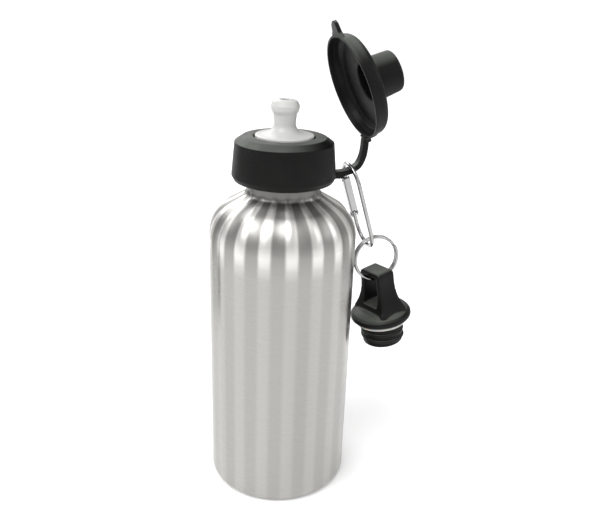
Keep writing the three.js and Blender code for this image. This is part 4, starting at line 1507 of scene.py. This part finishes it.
def pin(y, z, radius, half_length, head=0.0):
    """A pin along X with a rounded head at both ends."""
    outline = [
        (0, -half_length), (radius, -half_length + head * 0.5), (radius, half_length - head * 0.5),
        (0, half_length)
    ]
    if head:
        h = half_length
        outline = rounded(
            [(0, -h, 0), (radius * 1.5, -h, 0.3), (radius * 1.5, -h + head, 0.1),
             (radius, -h + head, 0), (radius, h - head, 0),
             (radius * 1.5, h - head, 0.1), (radius * 1.5, h, 0.3), (0, h, 0)]
        )
    bm = lathe(outline, 40)
    spin = Matrix.Translation((0, y, z)) @ Matrix.Rotation(pi / 2, 4, "Y")
    bmesh.ops.transform(bm, matrix=spin, verts=bm.verts)
    return bm


class CANTEEN_OT_carabiner(bpy.types.Operator):
    """Makes the wire clip: its bent frame, its folded gate, and the gate's rivet and latch pin"""

    bl_idname = "canteen.carabiner"
    bl_label = "Wire Clip"

    def execute(self, context):
        s = sizes("hanger")
        place = clip_frame()
        half = s.clip_w / 2
        nose = 3
        latch_z = -s.nose_at - nose / 2
        centre = [Vector((0, half, -s.nose_at - nose))]
        for turn_from, mid_z in ((0, -half), (pi, -s.clip_l + half)):
            for k in range(41):
                a = turn_from + pi * k / 40
                centre.append(Vector((0, half * cos(a), mid_z + half * sin(a))))
        centre.append(Vector((0, half, -s.hinge_at + 1)))
        path = evenly(centre, 0.45)
        bent = piece_from("clip_wire", loft(wire_sections(path, s.wire_r, 24)))
        lip = half + LATCH_LIP
        notch = block((-4, 4), (half - 2, lip), (latch_z - 0.75, latch_z + 0.75))
        cut(bent, piece_from("eye", pin(half, -s.hinge_at, 0.85, 4)), piece_from("notch", notch))
        tidy_normals(bent, sharp=40)
        bent.data.transform(place)
        finish_piece(bent, "plate", "plated_wire", "carabiner", "carabiner_frame")

        gate = self.gate(s, half, latch_z)
        gate.data.transform(place)
        finish_piece(gate, "plate", "plated_wire", "gate", "carabiner_gate")

        reach = s.wire_r + GAP + s.gate_wall
        rivet = piece_from(
            "gate_rivet_set", pin(half, -s.hinge_at, RIVET_R, reach + 0.4, 0.35), place
        )
        finish_piece(rivet, "plate", "plated_wire", "carabiner", "gate_rivet")
        latch = piece_from(
            "gate_latch_pin_set", pin(half, latch_z, LATCH_R, reach + 0.3, 0.25), place
        )
        finish_piece(latch, "plate", "plated_wire", "gate", "gate_latch_pin")
        return {"FINISHED"}

    def gate(self, s, half, latch_z):
        """A channel folded from sheet, open outwards, with a rounded heel round the rivet."""
        inner = s.wire_r + GAP
        outer = inner + s.gate_wall
        top, bottom = -s.nose_at + 0.2, -s.hinge_at - 1.6
        web = half - inner
        back = web - s.gate_wall
        front = half + s.wire_r
        channel = rounded(
            [
                (-outer, back, 0.7), (outer, back, 0.7), (outer, front, 0.2), (inner, front, 0.2),
                (inner, web, 0.35), (-inner, web, 0.35), (-inner, front, 0.2), (-outer, front, 0.2),
            ],
            steps=5,
        )
        body = piece_from("gate", prism([tuple(p) for p in channel], bottom, top))
        heel = block((-inner, inner), (web - 2, web + 1), (bottom - 1, -s.hinge_at + 2.2))
        corners = []
        for z, end in ((bottom, -1), (top, 1)):
            for y, side in ((back, -1), (front, 1)):
                wedge = prism([(z, y), (z, y - side * 0.9), (z - end * 0.9, y)], -4, 4)
                swing = Matrix(((0, 0, 1, 0), (0, 1, 0, 0), (1, 0, 0, 0), (0, 0, 0, 1)))
                bmesh.ops.transform(wedge, matrix=swing, verts=wedge.verts)
                corners.append(piece_from("corner", wedge))
        cut(
            body, piece_from("heel", heel), piece_from("eye", pin(half, -s.hinge_at, 0.95, 4)),
            piece_from("eye", pin(half, latch_z, 0.75, 4)), *corners,
        )
        core_z = (-s.hinge_at + 4, latch_z - 3)
        fold = block((-inner - 0.1, inner + 0.1), (web - 0.1, front), core_z)
        rims = [
            e for e in fold.edges
            if abs(e.verts[0].co.z - e.verts[1].co.z) > 1 and e.verts[0].co.y > half
        ]
        bmesh.ops.bevel(fold, geom=rims, offset=0.5, segments=4, affect="EDGES")
        cut(body, piece_from("fold", fold), operation="UNION")
        tidy_normals(body)
        return body


class CANTEEN_OT_split_ring(bpy.types.Operator):
    """Winds the two turns of the split ring"""

    bl_idname = "canteen.split_ring"
    bl_label = "Split Ring"

    def execute(self, context):
        s = sizes("hanger")
        rise = 2 * s.ring_wire + 0.3
        turns = 1.96
        middle = (low("split_ring") + high("split_ring")) / 2
        ring = run_tree(
            empty_piece("split_ring_wound"),
            tree_named("coil", coil_tree),
            {"Turns": turns, "Rise": rise * MM, "Radius": s.ring_r * MM, "Wire": s.ring_wire * MM,
             "Start": -turns * rise / 2 * MM, "Phase": radians(36), "Taper": 0.004,
             "Steps": 160, "Sides": 20},
        )
        lie = Matrix.Rotation(pi / 2, 4, "X") @ Matrix.Scale(-1, 4, (0, 0, 1))
        centre = self.ring_centre(middle)
        ring.data.transform(Matrix.Translation(centre * MM) @ lie)
        tidy_normals(ring, sharp=50)
        finish_piece(ring, "plate", "plated_wire", "split_ring", "split_ring")
        return {"FINISHED"}

    def ring_centre(self, middle):
        """The centre lies one wire's reach along the line from the spare cap's pole."""
        s = sizes("hanger")
        joint = JOINTS["loop_cap_swing"]
        up = Vector(joint["axis"]).cross(Vector((0, 1, 0)))
        centre = Vector(joint["pos_m"]) / MM + up * s.ring_r
        centre.y = middle.y
        return centre


# ------------------------------------------------------------------ spare loop cap
class CANTEEN_OT_loop_cap(bpy.types.Operator):
    """Makes the spare cap: flange, waisted tower, loop handle, threaded plug and its gasket"""

    bl_idname = "canteen.loop_cap"
    bl_label = "Spare Loop Cap"

    def execute(self, context):
        s = sizes("spare")
        bottle = sizes("bottle")
        drop = s.tall - s.handle_t - 2.5
        place = leaning_frame(JOINTS["loop_cap_swing"], drop) @ Matrix.Rotation(s.turned, 4, "Z")
        cap = self.tower(s)
        seat = -2 * GAP - SPARE_SEAL_H
        plug, plug_r = plug_outline(1.2, seat, bottle)
        tube = piece_from("plug", lathe(plug, 144))
        cap = joined("loop_cap_moulded", cap, tube, plug_ridge(seat))
        cap.data.shade_smooth()
        cap.data.set_sharp_from_angle(angle=radians(45))
        cap.data.transform(place)
        finish_piece(cap, "black", "black_plastic", "loop_cap", "loop_cap_shell")

        inner = plug_r + sizes("thread").crest + GAP
        top, bottom = -GAP, -GAP - SPARE_SEAL_H
        ring = rounded(
            [
                (inner, bottom, 0.3), (s.gasket_r, bottom, 0.7), (s.gasket_r, top, 0.7),
                (inner, top, 0.3)
            ]
        )
        gasket = piece_from("loop_cap_gasket_moulded", lathe(ring, 144), place)
        finish_piece(gasket, "seal", "clear_seal", "loop_cap", "loop_cap_gasket")
        return {"FINISHED"}

    def tower(self, s):
        """The flange and the handle, joined, cut and remeshed so that every corner is soft."""
        bell = piece_from(
            "bell",
            lathe(
                rounded(
                    [
                        (0, 0, 0), (s.flange_r - 1.2, 0, 0.5), (s.flange_r, 1.3, 0.8),
                        (s.flange_r, s.flange_h - 1, 1.2),
                        (s.flange_r - 1.4, s.flange_h + 0.6, 1),
                        (s.flange_r - 4, s.flange_h + 1.8, 1.5),
                        (0, s.flange_h + 3.2, 0),
                    ]
                ),
                144,
            ),
        )
        half_l, half_w = s.handle_l / 2, s.handle_w / 2
        side = self.flank(s, half_l, 6.6, 2.4, 1.7)
        face = self.flank(s, half_w, 5.6, 3.0, 1.0)
        along_x = Matrix(((0, 0, 1, 0), (1, 0, 0, 0), (0, 1, 0, 0), (0, 0, 0, 1)))
        along_y = Matrix(((1, 0, 0, 0), (0, 0, 1, 0), (0, 1, 0, 0), (0, 0, 0, 1)))
        front = self.slab(side, along_x)
        cut(front, self.slab(face, along_y), operation="INTERSECT")
        trim = piece_from(
            "trim",
            lathe(
                [(0, 0.1), (s.flange_r - 2.2, 0.1),
                 (s.flange_r - 2.2, s.tall + 1), (0, s.tall + 1)],
                96,
            )
        )
        cut(front, trim, operation="INTERSECT")
        cut(bell, front, operation="UNION")
        g = s.gap_w / 2
        roof = s.tall - s.handle_t
        gap = rounded(
            [
                (-g - 0.6, s.gap_from, 0.8), (g + 0.6, s.gap_from, 0.8), (g, roof, 1.8),
                (-g, roof, 1.8)
            ]
        )
        cut(bell, self.slab([tuple(p) for p in gap], along_x))
        remesh = bell.modifiers.new("soften", "REMESH")
        remesh.mode = "VOXEL"
        remesh.voxel_size = 0.34 * MM
        smooth = bell.modifiers.new("smooth", "SMOOTH")
        smooth.factor = 0.5
        smooth.iterations = 5
        apply_modifiers(bell)
        return bell

    def flank(self, s, half, spread, power, corner):
        """A mirrored outline that sweeps in from the flange to the handle's top."""
        steps = 20
        edge = []
        for k in range(steps + 1):
            f = k / steps
            edge.append((half + spread * (1 - f) ** power, 2.6 + (s.tall - 6.6) * f))
        edge += [
            (half - 0.1, s.tall - corner), (half - corner * 0.4, s.tall - corner * 0.4),
            (half - corner, s.tall)
        ]
        return edge + [(-x, z) for x, z in reversed(edge)]

    def slab(self, outline, turn_matrix):
        bm = prism(outline, -20, 20)
        bmesh.ops.transform(bm, matrix=turn_matrix, verts=bm.verts)
        return piece_from("slab", bm)


# ------------------------------------------------------------------ stage
def camera_matrix():
    """The camera looks down at the bottle from its front left, a little rolled."""
    pitch, yaw, roll, around = 0.38626, 0.02835, 0.03352, radians(-17.3)
    forward = Vector((sin(yaw) * cos(pitch), cos(yaw) * cos(pitch), -sin(pitch)))
    right = Vector((cos(yaw), -sin(yaw), 0))
    down = forward.cross(right)
    rolled_right = right * cos(roll) - down * sin(roll)
    rolled_down = right * sin(roll) + down * cos(roll)
    axes = Matrix((rolled_right, -rolled_down, -forward)).transposed().to_4x4()
    matrix = Matrix.Rotation(around, 4, "Z") @ axes
    matrix.translation = CAMERA_AT
    return matrix


def area_light(name, place, target, size, power, tall=None):
    data = bpy.data.lights.new(name, "AREA")
    data.shape = "RECTANGLE"
    data.size = size
    data.size_y = tall or size
    data.energy = power
    light = new_object(name, data)
    light.location = place
    light.rotation_euler = (Vector(target) - Vector(place)).to_track_quat("-Z", "Y").to_euler()
    light.visible_camera = False


def grey_card(name, place, target, width, height):
    """A grey card that only shows in reflections, as beside a product on a light table."""
    bm = bmesh.new()
    bmesh.ops.create_grid(bm, x_segments=6, y_segments=6, size=0.5)
    bmesh.ops.scale(bm, vec=(width, height, 1), verts=bm.verts)
    mesh = new_mesh(name, bm)
    turn_to = (Vector(target) - Vector(place)).to_track_quat("Z", "Y").to_matrix().to_4x4()
    mesh.transform(Matrix.Translation(place) @ turn_to)
    card = new_object(name, mesh)
    material, w, shader = new_material(name, roughness=0.9)
    grain = effect(w, fine_grain_group, scale=600.0, cloud_scale=4.0)
    w.put(
        w.mix(grain["Cloud"], (0.32, 0.32, 0.315, 1), (0.36, 0.36, 0.355, 1)),
        shader.inputs["Base Color"]
    )
    mesh.materials.append(material)
    card.visible_camera = False
    card.visible_shadow = False
    card.visible_diffuse = False


class CANTEEN_OT_stage(bpy.types.Operator):
    """Makes the camera, the pale floor, the soft lights and the grey cards beside the bottle"""

    bl_idname = "canteen.stage"
    bl_label = "Stage"

    def execute(self, context):
        data = bpy.data.cameras.new("camera")
        data.sensor_width = SENSOR
        data.lens = LENS
        camera = new_object("camera", data)
        camera.matrix_world = camera_matrix()
        context.scene.camera = camera
        context.scene.view_settings.view_transform = "Standard"

        bm = bmesh.new()
        bmesh.ops.create_grid(bm, x_segments=8, y_segments=8, size=40)
        mesh = new_mesh("floor", bm)
        mesh.transform(Matrix.Translation((0, 0, -0.0002)))
        mesh.materials.append(finish("floor"))
        new_object("floor", mesh)

        self.world(context)
        middle = (0, 0, 0.12)
        area_light("key_left", (-0.6, -0.1, 0.85), middle, 0.5, 1.5, tall=0.7)
        area_light("fill_right", (0.7, -0.45, 0.7), middle, 0.4, 1.0, tall=0.6)
        area_light("back_sheen", (-0.25, 0.95, 0.75), middle, 1.1, 5.0, tall=0.55)
        sun = bpy.data.lights.new("soft_sun", "SUN")
        sun.energy = 1.25
        sun.angle = radians(40)
        lamp = new_object("soft_sun", sun)
        lamp.rotation_euler = (radians(18), radians(-24), 0)
        grey_card("card_left", (-0.17, 0.14, 0.13), middle, 0.07, 0.34)
        grey_card("card_right", (0.25, 0.12, 0.13), middle, 0.22, 0.36)
        return {"FINISHED"}

    def world(self, context):
        """White to the camera; to everything else an even dome with two soft bright patches."""
        world = context.scene.world or bpy.data.worlds.new("studio")
        context.scene.world = world
        world.use_nodes = True
        world.node_tree.nodes.clear()
        w = Wiring(world.node_tree)
        direction = w.add("ShaderNodeTexCoord").outputs["Generated"]
        height = w.add("ShaderNodeSeparateXYZ", {0: direction}).outputs[2]
        light = w.ramp(height, 0.0, 0.5, 0.6, 0.5)
        for towards, strength in LOBES:
            pair = {0: direction, 1: Vector(towards).normalized()}
            facing = w.add("ShaderNodeVectorMath", pair, operation="DOT_PRODUCT")
            light = w.maths(
                "ADD", light, w.ramp(facing.outputs["Value"], 0.78, 0.95, 0.0, strength)
            )
        tint = w.add("ShaderNodeCombineColor", {0: light, 1: light, 2: light}).outputs[0]
        soft = w.add("ShaderNodeBackground", {"Color": tint, "Strength": 1.0})
        white = w.add("ShaderNodeBackground", {"Color": (1, 1, 1, 1), "Strength": 1.0})
        seen = w.add("ShaderNodeLightPath").outputs["Is Camera Ray"]
        mixed = w.add("ShaderNodeMixShader", {0: seen, 1: soft.outputs[0], 2: white.outputs[0]})
        output = w.add("ShaderNodeOutputWorld")
        w.put(mixed.outputs[0], output.inputs[0])


# ------------------------------------------------------------------ panel and registration
OPERATORS = (
    CANTEEN_OT_stage,
    CANTEEN_OT_bottle,
    CANTEEN_OT_mouth,
    CANTEEN_OT_collar,
    CANTEEN_OT_nozzle,
    CANTEEN_OT_tether,
    CANTEEN_OT_dust_cover,
    CANTEEN_OT_carabiner,
    CANTEEN_OT_split_ring,
    CANTEEN_OT_loop_cap,
)


class CANTEEN_PT_panel(bpy.types.Panel):
    """Lists the bottle's pieces"""

    bl_idname = "CANTEEN_PT_panel"
    bl_label = "Sports Bottle"
    bl_space_type = "VIEW_3D"
    bl_region_type = "UI"
    bl_category = "Bottle"

    def draw(self, context):
        for operator in OPERATORS:
            self.layout.operator(operator.bl_idname)


def register():
    for cls in (*GROUPS.values(), *OPERATORS, CANTEEN_PT_panel):
        bpy.utils.register_class(cls)
    for name, group in GROUPS.items():
        setattr(bpy.types.Scene, "bottle_" + name, bpy.props.PointerProperty(type=group))


def unregister():
    for name in GROUPS:
        delattr(bpy.types.Scene, "bottle_" + name)
    for cls in reversed((*GROUPS.values(), *OPERATORS, CANTEEN_PT_panel)):
        bpy.utils.unregister_class(cls)


def main():
    register()
    for operator in OPERATORS:
        group, name = operator.bl_idname.split(".")
        getattr(getattr(bpy.ops, group), name)()


if __name__ == "__main__":
    main()
